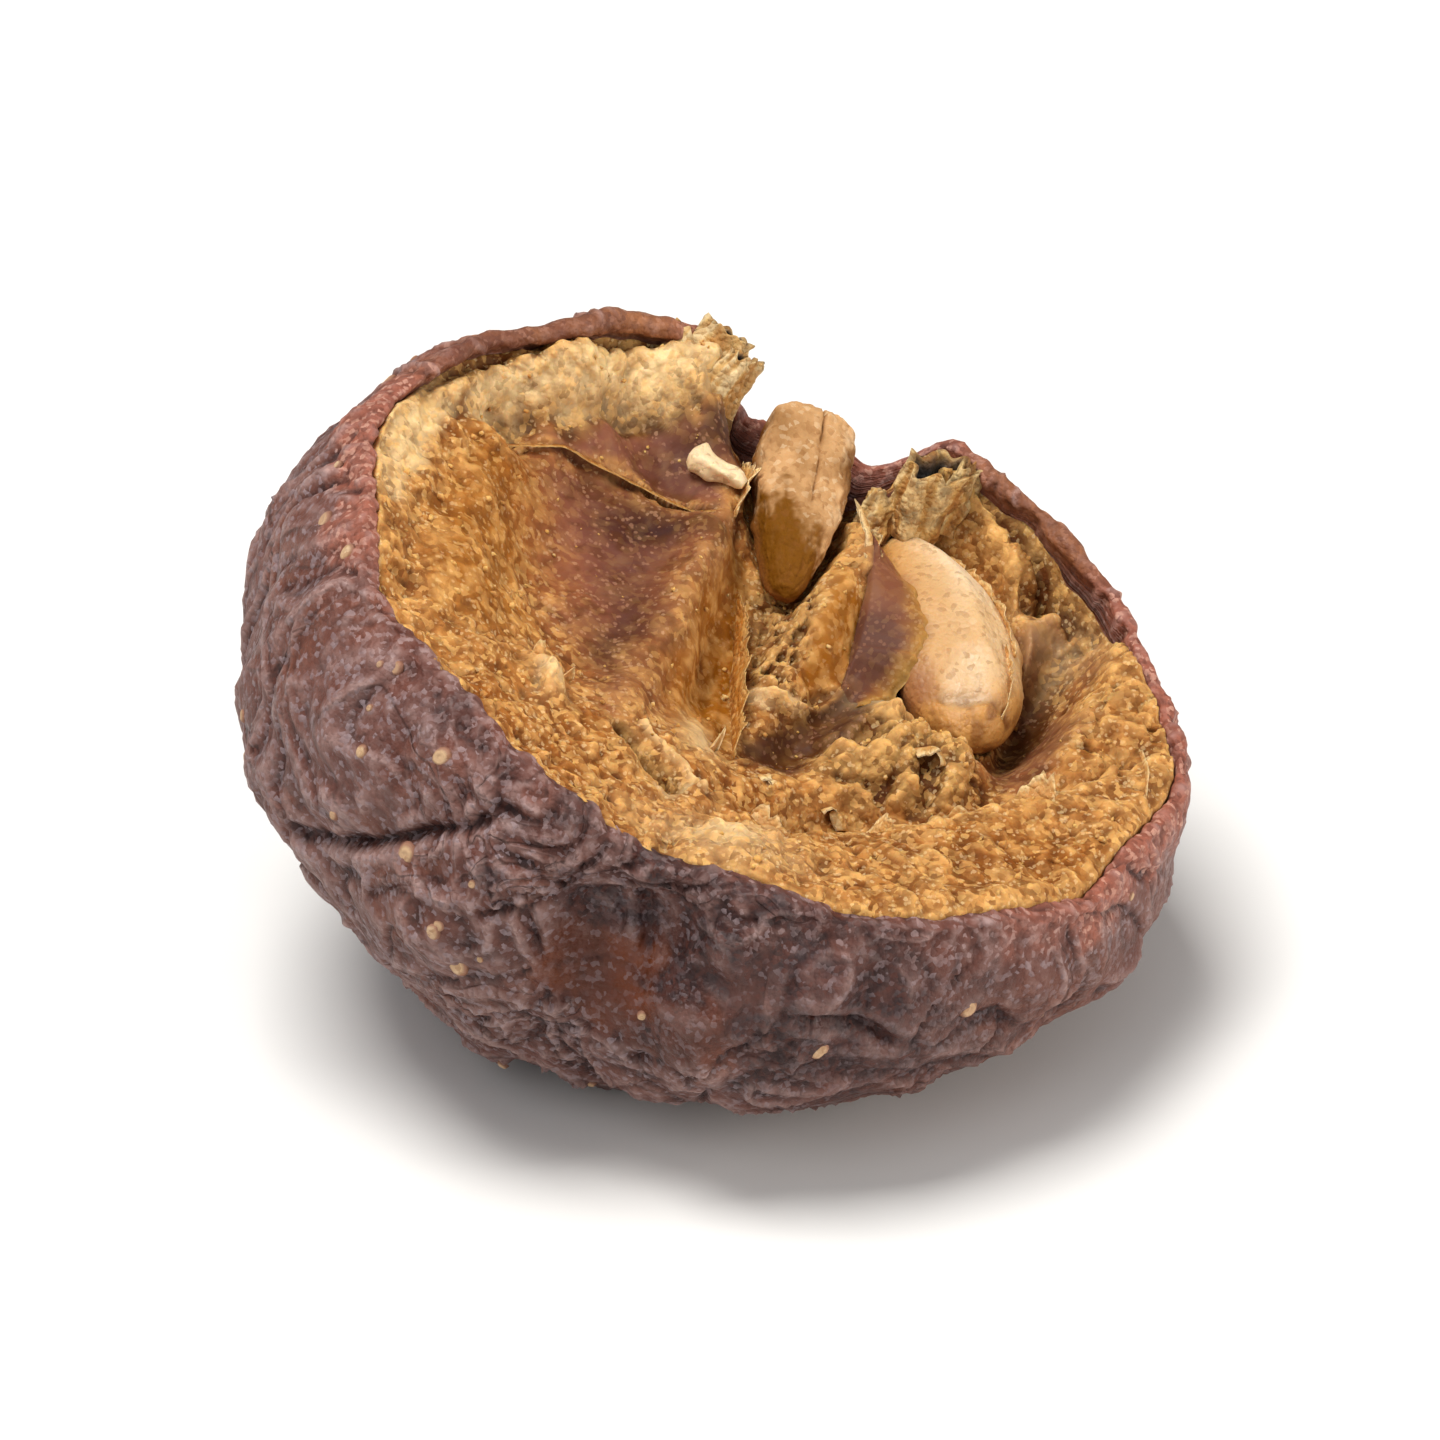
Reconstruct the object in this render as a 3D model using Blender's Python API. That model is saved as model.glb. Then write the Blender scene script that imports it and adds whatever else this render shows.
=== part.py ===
"""Half of a dried hawthorn berry, cut lengthwise, with two of its stones still in the core.

The berry is a flattened sphere whose top is cut off by a sloping face. The face holds
the flesh, the emptied stone hollows and two stones; the outside is folded, dried skin.
Face coordinates are millimetres: u runs across the core, v along it towards the calyx,
and w stands out of the cut face. World units are metres, +Z up.
"""

import math
from collections import namedtuple

import bmesh
import bpy
from mathutils import Matrix, Vector, noise

MM = 0.001

# The berry's main sizes, in millimetres
RIM_RADIUS = 12.0
BODY_RADIUS = 13.25
BODY_HALF_HEIGHT = 8.1
BELLY_DEPTH = 8.75
CENTRE_HEIGHT = 8.3
FACE_ABOVE_CENTRE = 3.7
BOXINESS = 2.25

# How the half lies: turns of the cut face, and the lean of the body under it
FACE_ROLL = math.radians(24.0)
FACE_PITCH = math.radians(2.6)
FACE_HEADING = math.radians(-16.0)
BODY_LEAN = math.radians(17.7)
BELLY_LEAN = math.radians(-7.5)
BODY_LEAN_HEADING = math.radians(-21.8)

# The rim of skin round the cut, and the flesh inside it
LIP_WIDTH = 0.75
LIP_HEIGHT = 0.3
RIM_WAVE = 0.5
RIM_WAVES = 2.6
EDGE_WAVE = 0.45
EDGE_WAVES = 3.1
CURL_HEIGHT = 0.25
LEFT_CURL = (math.radians(120.0), math.radians(168.0))
RIGHT_CURL = (math.radians(48.0), math.radians(76.0))
FLESH_BELOW_RIM = 0.55
CORE_BELOW_RIM = 1.25
FLESH_BAND_RADIUS = 10.8
CORE_RADIUS = 6.5
DEEPEST = -4.6
GRAIN_HEIGHT = 0.25
GRAIN_SIZE = 1.4

# The notch at the calyx end and the half stem pit opposite
NOTCH_ANGLE = math.radians(97.0)
NOTCH_HALF_WIDTH = math.radians(19.0)
NOTCH_DEPTH = 2.1
NOTCH_INSET = 0.5
CALYX_PIT_DEPTH = 1.7
CALYX_PIT_REACH = 0.45
STEM_PIT_ANGLE = math.radians(-88.0)
STEM_PIT_HALF_WIDTH = math.radians(16.0)
STEM_PIT_DIP = 0.5
STEM_PIT_INSET = 0.45
STEM_PIT_DEPTH = 1.6
STEM_PIT_REACH = 0.55

# Folds of the dried skin
FOLD_HEIGHT = 0.85
FOLD_ALONG = 7.0
FOLD_ACROSS = 2.9
CROSS_FOLD_SIZE = 4.2
CREASE_SOFTNESS = 0.05
ROLL_SCALE = 2.4
RIM_SETTLE = 0.22
FOLD_START = 0.1

# Fineness of the solids
BERRY_SEGMENTS = 92
FACE_RINGS = 30
WALL_RINGS = 25
WALL_RING_CROWDING = 1.2
STONE_SEGMENTS = 20
STONE_RINGS = 16
STONE_GAP = 0.45
BED_WALL_SLOPE = 7.0
NO_FLOOR = 10.0

# One soft-edged form on the cut face: its middle, half length along its own direction,
# half width, turn from the core's direction, rise above the flesh, and edge sharpness
Form = namedtuple("Form", "u v length width turn rise edge")

HOLLOWS = {
    "left stone dish": Form(-4.4, 1.0, 5.6, 2.35, 16, -1.75, 1.5),
    "middle valley": Form(-0.7, 2.6, 5.2, 1.15, 9, -1.9, 1.3),
    "core floor": Form(2.4, 0.4, 7.0, 3.3, 4, -1.35, 1.8),
    "dark gap under the ledge": Form(2.4, 2.2, 1.5, 1.3, 60, -1.1, 1.0),
    "right stone bed": Form(5.4, 4.6, 4.6, 2.2, -14, -1.3, 1.6),
    "gap beside the right stone": Form(7.7, 5.0, 3.8, 0.9, -4, -2.1, 1.2),
    "basin under the front ledge": Form(5.6, -2.2, 4.6, 1.25, -44, -1.2, 1.5),
    "front slit": Form(-1.1, -6.4, 1.3, 0.45, -52, -0.9, 1.0),
    "left groove": Form(-9.4, -0.8, 4.8, 0.6, 2, -0.75, 1.0),
    "pit by the top swell": Form(-9.0, 4.3, 1.0, 1.0, 0, -1.3, 1.0),
    "strip above the seed film": Form(-5.2, 7.1, 3.6, 0.9, 68, -1.1, 1.3),
    "saddle under the calyx": Form(-0.6, 10.3, 1.6, 2.6, 0, -0.9, 1.2),
    "lower left hollow": Form(-1.4, -2.2, 2.6, 1.0, 10, -0.9, 1.0),
}
RISES = {
    "middle ridge": Form(-2.45, 0.6, 5.6, 0.5, 2, 0.75, 1.0),
    "core column": Form(1.5, 3.6, 2.4, 0.8, 0, 0.65, 1.0),
    "column ledge": Form(1.3, 1.1, 0.5, 1.2, 0, 0.45, 1.0),
    "purple saddle": Form(2.0, 7.4, 3.4, 0.85, -16, 0.8, 1.0),
    "left pillow": Form(-7.7, -1.4, 4.4, 1.4, 4, 0.35, 1.3),
    "top swell": Form(-8.2, 6.9, 4.6, 0.95, 134, 1.0, 1.2),
    "lumps by the right stone": Form(5.0, 0.6, 1.0, 2.6, -22, 0.8, 1.2),
    "front swell": Form(1.3, -9.3, 1.3, 1.9, 10, 0.45, 1.2),
    "right swell": Form(9.6, 3.6, 3.8, 1.3, 8, 0.35, 1.3),
}
TUFTS = {
    "left calyx tuft": Form(-4.8, 10.3, 0.9, 1.0, 0, 0.7, 1.0),
    "right calyx tuft": Form(1.9, 10.8, 1.0, 0.9, 20, 0.95, 1.0),
}
LEDGE_START = (2.4, -7.4)
LEDGE_SLOPE = 1.05
LEDGE_STEP = 0.7

# Stones: the middle, half sizes, turns about w, and their end shapes
Stone = namedtuple("Stone", "u v w length width depth turn pitch taper bow")
CENTRE_STONE = Stone(-0.75, 7.35, -1.75, 3.6, 1.3, 0.95, 14.0, -8.0, 0.45, 0.0)
RIGHT_STONE = Stone(4.35, 5.75, -2.35, 4.25, 1.7, 1.45, 36.0, 3.0, 0.2, 0.6)

# Deep creases of the wall: both ends in face coordinates, half width and depth
Crease = namedtuple("Crease", "start end width depth")
CREASES = {
    "left crease": Crease((-9.0, -9.8, -7.2), (-4.0, -12.0, -1.2), 0.75, 0.8),
    "stem pit crease": Crease((1.0, -11.2, -0.6), (2.7, -12.0, -4.2), 0.7, 0.8),
    "crease over the smooth patch": Crease((4.2, -12.6, -2.6), (0.2, -11.8, -4.4), 0.6, 0.55),
    "right crease": Crease((8.6, -9.4, -2.4), (11.8, -4.2, -3.4), 0.6, 0.5),
}

Finish = namedtuple("Finish", "name colour roughness")
SKIN_AND_FLESH = Finish("dried skin and flesh", (0.27, 0.095, 0.045), 0.62)
WOODY_STONE = Finish("woody stone", (0.42, 0.22, 0.075), 0.6)
PALE_STONE = Finish("pale stone", (0.62, 0.39, 0.14), 0.42)


def clear_scene():
    """Empties the scene of whatever it opened with."""
    for obj in list(bpy.data.objects):
        bpy.data.objects.remove(obj, do_unlink=True)


def face_turn():
    """The turn that takes face coordinates to world directions."""
    return (
        Matrix.Rotation(FACE_HEADING, 3, "Z")
        @ Matrix.Rotation(FACE_PITCH, 3, "X")
        @ Matrix.Rotation(FACE_ROLL, 3, "Y")
    )


FACE_TURN = face_turn()
FACE_NORMAL = FACE_TURN @ Vector((0.0, 0.0, 1.0))
BODY_CENTRE = Vector((0.0, 0.0, CENTRE_HEIGHT))
FACE_CENTRE = BODY_CENTRE + FACE_ABOVE_CENTRE * FACE_NORMAL


def leaning_axis(lean):
    """The upright direction, leant by an angle along the body's lean."""
    side = math.sin(lean)
    heading = BODY_LEAN_HEADING
    return Vector((side * math.cos(heading), side * math.sin(heading), math.cos(lean)))


BODY_AXIS = leaning_axis(BODY_LEAN)
BELLY_AXIS = leaning_axis(BELLY_LEAN)


def to_world(u, v, w):
    """A point of the cut face, in millimetres, in the world's directions."""
    return FACE_CENTRE + FACE_TURN @ Vector((u, v, w))


def smooth(low, high, value):
    """Rises softly from 0 at low to 1 at high."""
    share = min(max((value - low) / (high - low), 0.0), 1.0)
    return share * share * (3.0 - 2.0 * share)


def angle_between(first, second):
    """The unsigned angle between two directions round the rim."""
    return abs(math.remainder(first - second, math.tau))


def form_height(form, u, v):
    """How much one form lifts or sinks the face at a point."""
    turn = math.radians(form.turn)
    across = (u - form.u) * math.cos(turn) + (v - form.v) * math.sin(turn)
    along = (v - form.v) * math.cos(turn) - (u - form.u) * math.sin(turn)
    reach = (along / form.length) ** 2 + (across / form.width) ** 2
    return form.rise * math.exp(-(reach**form.edge))


def calyx_notch(angle):
    """1 in the middle of the notch at the calyx end, 0 outside it."""
    return 1.0 - smooth(0.45, 1.0, angle_between(angle, NOTCH_ANGLE) / NOTCH_HALF_WIDTH)


def stem_pit(angle):
    """1 in the middle of the stem pit, 0 outside it."""
    return 1.0 - smooth(0.1, 1.0, angle_between(angle, STEM_PIT_ANGLE) / STEM_PIT_HALF_WIDTH)


def rim_radius(angle):
    """Distance from the face's middle to the outer edge of the skin."""
    spot = Vector((math.cos(angle), math.sin(angle), 0.0))
    wave = RIM_WAVE * noise.noise(spot * RIM_WAVES + Vector((3.1, 0.0, 0.0)))
    return RIM_RADIUS + wave - NOTCH_INSET * calyx_notch(angle) - STEM_PIT_INSET * stem_pit(angle)


def curl(angle, ends):
    """1 along a stretch of the rim where the skin's edge curls up, 0 outside it."""
    first, last = ends
    return smooth(first - 0.1, first + 0.1, angle) * smooth(last + 0.15, last - 0.15, angle)


def rim_height(angle):
    """Height of the skin's edge above the plane of the cut."""
    spot = Vector((math.cos(angle), math.sin(angle), 0.0))
    wave = EDGE_WAVE * noise.noise(spot * EDGE_WAVES + Vector((0.0, 7.7, 0.0)))
    curled = CURL_HEIGHT * (curl(angle, LEFT_CURL) + curl(angle, RIGHT_CURL))
    return wave + curled - NOTCH_DEPTH * calyx_notch(angle) - STEM_PIT_DIP * stem_pit(angle)


def stone_floor(stone, u, v):
    """The height of the flesh that leaves clear room under a stone, or a large value beside it."""
    turn = Matrix.Rotation(math.radians(-stone.turn), 2)
    x, y = turn @ Vector((u - stone.u, v - stone.v))
    x -= stone.bow * (1.0 - (y / stone.length) ** 2)
    reach = math.hypot(x / (stone.width + STONE_GAP), y / (stone.length + STONE_GAP))
    if reach > 1.3:
        return NO_FLOOR
    middle = stone.w - y * math.sin(math.radians(stone.pitch))
    under = (stone.depth + STONE_GAP) * math.sqrt(max(1.0 - reach * reach, 0.0))
    return middle - under + BED_WALL_SLOPE * max(reach - 1.0, 0.0)


def flesh_height(u, v):
    """Height of the flesh inside the rim, with its hollows, ridges and grain."""
    radius = math.hypot(u, v)
    core = smooth(FLESH_BAND_RADIUS, CORE_RADIUS, radius)
    height = -FLESH_BELOW_RIM - (CORE_BELOW_RIM - FLESH_BELOW_RIM) * core
    height += sum(form_height(form, u, v) for form in HOLLOWS.values())
    height += sum(form_height(form, u, v) for form in RISES.values())
    height += GRAIN_HEIGHT * noise.noise(Vector((u, v, 0.0)) / GRAIN_SIZE)
    return max(height + front_ledge(u, v), DEEPEST)


def front_ledge(u, v):
    """The step from the front basin up to the band of flesh along the front rim."""
    start_u, start_v = LEDGE_START
    behind = v - start_v - LEDGE_SLOPE * (u - start_u)
    return LEDGE_STEP * smooth(0.3, 2.0, u) * smooth(0.5, -0.25, behind)


def face_point(angle, share):
    """A point of the cut face at this share of the way from its middle to the rim."""
    radius, edge = rim_radius(angle), rim_height(angle)
    inset = radius * (1.0 - share)
    u, v = (radius - inset) * math.cos(angle), (radius - inset) * math.sin(angle)
    flesh = flesh_height(u, v) + edge * smooth(0.55, 1.0, share)
    rolled = edge + LIP_HEIGHT * (1.0 - (inset / LIP_WIDTH - 0.5) ** 2)
    height = flesh + (rolled - flesh) * smooth(1.7 * LIP_WIDTH, 0.55 * LIP_WIDTH, inset)
    height += sum(form_height(form, u, v) for form in TUFTS.values())
    if inset > 0.0:
        height = min(height, stone_floor(CENTRE_STONE, u, v), stone_floor(RIGHT_STONE, u, v))
    return to_world(u, v, height)


def spheroid_reach(direction, axis, half_height):
    """Distance from the body's centre to a boxy flattened sphere about an axis."""
    rise = direction.dot(axis)
    up = abs(rise) / half_height
    out = math.sqrt(max(1.0 - rise * rise, 0.0)) / BODY_RADIUS
    return (up**BOXINESS + out**BOXINESS) ** (-1.0 / BOXINESS)


def body_reach(direction):
    """Distance from the body's centre to the plain, unfolded wall in one direction."""
    belly = smooth(0.25, 0.85, -direction.z)
    leaning = spheroid_reach(direction, BODY_AXIS, BODY_HALF_HEIGHT)
    return leaning + (spheroid_reach(direction, BELLY_AXIS, BELLY_DEPTH) - leaning) * belly


def rounded_rolls(spot):
    """Rounded rolls with narrow creases between them, 0 in a crease and about 1 on a roll."""
    return ROLL_SCALE * (math.hypot(noise.noise(spot), CREASE_SOFTNESS) - CREASE_SOFTNESS)


def crease_depth(crease, spot):
    """How deep one wall crease is at a spot in face coordinates."""
    start, end = Vector(crease.start), Vector(crease.end)
    run = end - start
    share = min(max((spot - start).dot(run) / run.length_squared, 0.0), 1.0)
    gap = (spot - start - share * run).length
    fade = smooth(0.0, 0.2, share) * smooth(1.0, 0.8, share)
    return crease.depth * (0.3 + 0.7 * fade) * math.exp(-((gap / crease.width) ** 2))


def skin_fold(point):
    """Height of the folds at a point of the wall: long soft rolls from stem to calyx."""
    spot = FACE_TURN.inverted() @ (point - FACE_CENTRE)
    along = Vector((spot.x / FOLD_ACROSS, spot.y / FOLD_ALONG, spot.z / FOLD_ACROSS))
    cross = rounded_rolls(spot / CROSS_FOLD_SIZE + Vector((9.0, 2.0, 5.0)))
    height = FOLD_HEIGHT * (0.65 * rounded_rolls(along) + 0.35 * cross - 0.6)
    return height - sum(crease_depth(crease, spot) for crease in CREASES.values())


def wall_pucker(angle, drop):
    """How far the wall is drawn in at the stem pit and the calyx, at a share down the wall."""
    stem = stem_pit(angle) * smooth(STEM_PIT_REACH, 0.1, drop)
    calyx = calyx_notch(angle) * smooth(CALYX_PIT_REACH, 0.05, drop)
    return STEM_PIT_DEPTH * stem + CALYX_PIT_DEPTH * calyx


def wall_point(angle, drop):
    """A point of the outer wall, from the rim at drop 0 to the middle of the belly at 1."""
    radius, edge = rim_radius(angle), rim_height(angle)
    side = FACE_TURN @ Vector((math.cos(angle), math.sin(angle), 0.0))
    rim = radius * side + (FACE_ABOVE_CENTRE + edge) * FACE_NORMAL
    rim_slope = rim.angle(FACE_NORMAL)
    slope = rim_slope + (math.pi - rim_slope) * drop
    direction = math.sin(slope) * side + math.cos(slope) * FACE_NORMAL
    rim_share = rim.length / body_reach(rim.normalized())
    reach = body_reach(direction) * (1.0 + (rim_share - 1.0) * smooth(RIM_SETTLE, 0.0, drop))
    folds = skin_fold(BODY_CENTRE + reach * direction) - wall_pucker(angle, drop)
    point = BODY_CENTRE + (reach + folds * smooth(0.0, FOLD_START, drop)) * direction
    return Vector((point.x, point.y, max(point.z, 0.0)))


def berry_mesh():
    """A sphere whose upper rings become the cut face and whose lower rings become the wall."""
    bm = bmesh.new()
    rings = FACE_RINGS + WALL_RINGS
    bmesh.ops.create_uvsphere(bm, u_segments=BERRY_SEGMENTS, v_segments=rings, radius=1.0)
    for vert in bm.verts:
        angle = math.atan2(vert.co.y, vert.co.x)
        ring = math.acos(max(-1.0, min(1.0, vert.co.z))) / math.pi * rings
        if ring <= FACE_RINGS + 0.01:
            point = face_point(angle, min(ring / FACE_RINGS, 1.0))
        else:
            point = wall_point(angle, ((ring - FACE_RINGS) / WALL_RINGS) ** WALL_RING_CROWDING)
        vert.co = point * MM
    return bm


def stone_turn(stone):
    """The turn of a stone within the face: about w, then a small pitch along its length."""
    heading = Matrix.Rotation(math.radians(stone.turn), 3, "Z")
    return heading @ Matrix.Rotation(math.radians(-stone.pitch), 3, "X")


def stone_mesh(stone):
    """A long nutlet: pointed towards the stem, bowed sideways, grooved along its top."""
    bm = bmesh.new()
    bmesh.ops.create_uvsphere(bm, u_segments=STONE_SEGMENTS, v_segments=STONE_RINGS, radius=1.0)
    turn = stone_turn(stone)
    for vert in bm.verts:
        x, along, z = vert.co.x, vert.co.z, -vert.co.y
        narrow = 1.0 - stone.taper * smooth(0.1, -1.0, along)
        groove = 0.12 * math.exp(-((x / 0.22) ** 2)) * smooth(0.2, 0.9, z)
        bow = stone.bow * (1.0 - along * along)
        local = Vector(
            (
                x * stone.width * narrow + bow,
                along * stone.length,
                (z - groove) * stone.depth * narrow,
            )
        )
        vert.co = to_world(*(Vector((stone.u, stone.v, stone.w)) + turn @ local)) * MM
    return bm


def material_of(finish):
    """A plain material with one colour and roughness."""
    material = bpy.data.materials.new(finish.name)
    material.use_nodes = True
    shader = material.node_tree.nodes["Principled BSDF"]
    shader.inputs["Base Color"].default_value = (*finish.colour, 1.0)
    shader.inputs["Roughness"].default_value = finish.roughness
    shader.inputs["Metallic"].default_value = 0.0
    return material


def add_piece(name, bm, finish, collection):
    """Makes one smooth-shaded object from a mesh in the making."""
    bmesh.ops.triangulate(bm, faces=bm.faces)
    mesh = bpy.data.meshes.new(name)
    bm.to_mesh(mesh)
    bm.free()
    mesh.shade_smooth()
    mesh.materials.append(material_of(finish))
    piece = bpy.data.objects.new(name, mesh)
    collection.objects.link(piece)
    return piece


def main():
    """Builds the berry half and its stones."""
    clear_scene()
    collection = bpy.data.collections.new("dried_hawthorn_berry_half")
    bpy.context.scene.collection.children.link(collection)
    add_piece("berry_half", berry_mesh(), SKIN_AND_FLESH, collection)
    add_piece("stone_centre", stone_mesh(CENTRE_STONE), WOODY_STONE, collection)
    add_piece("stone_right", stone_mesh(RIGHT_STONE), PALE_STONE, collection)


main()
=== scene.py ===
"""Dresses the half of a dried hawthorn berry: its skin, flesh, stones, calyx and torn remains.

Lengths are millimetres and become metres where a mesh is made. Face coordinates are
those of the solids: u runs across the core, v along it towards the calyx, and w stands
out of the cut face.
"""

import logging
import math
from dataclasses import dataclass, field
from enum import Enum
from itertools import combinations
from typing import ClassVar

import bpy
import numpy as np
from mathutils import Matrix, Vector, noise
from mathutils.bvhtree import BVHTree


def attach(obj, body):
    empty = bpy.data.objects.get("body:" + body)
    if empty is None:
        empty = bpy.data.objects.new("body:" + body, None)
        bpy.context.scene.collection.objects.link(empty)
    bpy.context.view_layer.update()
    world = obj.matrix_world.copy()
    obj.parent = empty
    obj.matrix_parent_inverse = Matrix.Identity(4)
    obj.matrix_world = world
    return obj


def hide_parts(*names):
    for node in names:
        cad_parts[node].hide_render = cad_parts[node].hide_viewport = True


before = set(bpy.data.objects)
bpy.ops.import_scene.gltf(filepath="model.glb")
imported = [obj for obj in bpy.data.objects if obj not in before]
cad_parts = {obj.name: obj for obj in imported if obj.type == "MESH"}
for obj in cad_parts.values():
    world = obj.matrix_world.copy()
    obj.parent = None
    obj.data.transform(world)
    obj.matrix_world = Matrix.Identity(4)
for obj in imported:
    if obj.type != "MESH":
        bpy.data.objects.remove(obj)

log = logging.getLogger("hawthorn_half")

Array = np.ndarray
Colour = Point = tuple[float, float, float]
Spot = tuple[float, float]
Masks = dict[str, Array]
Socket = bpy.types.NodeSocket
Tree = bpy.types.NodeTree

MM = 0.001
GLOW_REACH = (1.0, 0.42, 0.16)
FLOWS = ("flow_x", "flow_y", "flow_z")


class Slot(Enum):
    """The record's material slots."""

    BERRY = "dried_skin_and_flesh"
    WOODY = "woody_stone"
    PALE = "pale_stone"


class Node(Enum):
    """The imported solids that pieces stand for."""

    BERRY = "berry_half"
    CENTRE = "stone_centre"
    RIGHT = "stone_right"


# Shape helpers


def smooth(low: float, high: float, value: Array) -> Array:
    """Rises softly from 0 at low to 1 at high, and falls where low is the larger."""
    share = np.clip((value - low) / (high - low), 0.0, 1.0)
    return share * share * (3.0 - 2.0 * share)


def mix(first: Array, second: Array, share: Array) -> Array:
    """Goes from first to second by a share."""
    return first + (second - first) * share


def whole(value: Array) -> Array:
    """Keeps a mask between 0 and 1."""
    return np.clip(value, 0.0, 1.0)


def ridge(gap: Array, width: float) -> Array:
    """1 where a gap is 0, falling softly to about a third at a width."""
    return np.exp(-((gap / width) ** 2))


def unit(vectors: Array) -> Array:
    """Vectors of length one."""
    return vectors / np.maximum(np.linalg.norm(vectors, axis=-1, keepdims=True), 1e-12)


def spots_of(*parts: Array) -> Array:
    """Stacks coordinate arrays of one or more shapes into points."""
    return np.stack(np.broadcast_arrays(*parts), axis=-1).astype(float)


def level(u: Array, v: Array) -> Array:
    """Points whose third coordinate is 0."""
    return spots_of(u, v, 0.0 * u)


def circle(angle: Array) -> Array:
    """Points of a circle of radius one."""
    return level(np.cos(angle), np.sin(angle))


def full_turn(count: int) -> Array:
    """Evenly spaced angles of a full turn."""
    return np.arange(count) / count * math.tau


def rough(spots: Array, shift: Point = (0, 0, 0), basis: str = "PERLIN_ORIGINAL") -> Array:
    """Soft noise of about -0.7 to 0.7 at each point.

    Args:
        spots: Points, with the last axis of length three.
        shift: Moves the pattern, so that two uses differ.
        basis: Which of Blender's noises is drawn.

    Returns:
        One value for each point.
    """
    places = (spots + np.array(shift)).reshape(-1, 3).tolist()
    return np.array([noise.noise(place, noise_basis=basis) for place in places]).reshape(spots.shape[:-1])


def lumps(spots: Array, shift: Point = (0, 0, 0)) -> Array:
    """Rounded lumps of size one: about 1 on top of a lump and -0.4 in a gap."""
    gap = (rough(spots, shift, "VORONOI_F1") + 1.0) / 2.0
    return np.clip(1.0 - (gap / 0.72) ** 2, -0.4, 1.0)


def wandered(spots: Array, size: float, reach: float) -> Array:
    """Moves points by a soft noise, so that patterns drawn over them lose their regularity.

    Args:
        spots: Points in millimetres.
        size: Size of the noise in millimetres.
        reach: How far a point moves, in millimetres.

    Returns:
        The moved points.
    """
    moved = [rough(spots / size, (7.0 * k, 3.0 - k, 11.0 * k)) for k in range(3)]
    return spots + reach * np.stack(moved, axis=-1)


def blurred(grid: Array, reach: int, round_axis: bool) -> Array:
    """Averages a grid over squares of cells.

    Args:
        grid: Rows and columns of values.
        reach: Cells to each side that count.
        round_axis: Whether the columns run round and close.

    Returns:
        The averaged grid.
    """
    rows = np.pad(grid, ((reach, reach), (0, 0)), mode="edge")
    both = np.pad(rows, ((0, 0), (reach, reach)), mode="wrap" if round_axis else "edge")
    total = np.pad(both.cumsum(0).cumsum(1), ((1, 0), (1, 0)))
    step = 2 * reach + 1
    block = total[step:, step:] - total[:-step, step:] - total[step:, :-step]
    return (block + total[:-step, :-step]) / step**2

@dataclass(frozen=True)
class CutFace:
    """The plane of the cut, and the turns between its coordinates and the world's."""

    centre_height: float = 8.3
    above_centre: float = 3.7
    roll: float = math.radians(24.0)
    pitch: float = math.radians(2.6)
    heading: float = math.radians(-16.0)

    @property
    def turn(self) -> Array:
        """The turn from face coordinates to world directions."""
        turned = (
            Matrix.Rotation(self.heading, 3, "Z")
            @ Matrix.Rotation(self.pitch, 3, "X")
            @ Matrix.Rotation(self.roll, 3, "Y")
        )
        return np.array(turned)

    @property
    def normal(self) -> Array:
        """The direction out of the cut face."""
        return self.turn[:, 2]

    @property
    def body_centre(self) -> Array:
        """The middle of the fruit's body."""
        return np.array((0.0, 0.0, self.centre_height))

    @property
    def centre(self) -> Array:
        """The middle of the cut face."""
        return self.body_centre + self.above_centre * self.normal

    def world(self, spots: Array) -> Array:
        """World points of face coordinates."""
        return self.centre + spots @ self.turn.T

    def face(self, points: Array) -> Array:
        """Face coordinates of world points."""
        return (points - self.centre) @ self.turn


FACE = CutFace()


@dataclass(frozen=True)
class Form:
    """One soft-edged rise or hollow of the cut face."""

    u: float
    v: float
    length: float
    width: float
    turn: float
    rise: float = 1.0
    edge: float = 1.0

    def reach(self, u: Array, v: Array) -> Array:
        """Squared distance from the form's middle, 1 at its edge."""
        turn = math.radians(self.turn)
        across = (u - self.u) * math.cos(turn) + (v - self.v) * math.sin(turn)
        along = (v - self.v) * math.cos(turn) - (u - self.u) * math.sin(turn)
        return (along / self.length) ** 2 + (across / self.width) ** 2

    def height(self, u: Array, v: Array) -> Array:
        """The rise at points of the face."""
        return self.rise * np.exp(-(self.reach(u, v) ** self.edge))

    def inside(self, u: Array, v: Array, softness: float = 0.35) -> Array:
        """1 well inside the form, 0 outside it."""
        return smooth(1.0 + softness, 1.0 - softness, self.reach(u, v))


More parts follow.
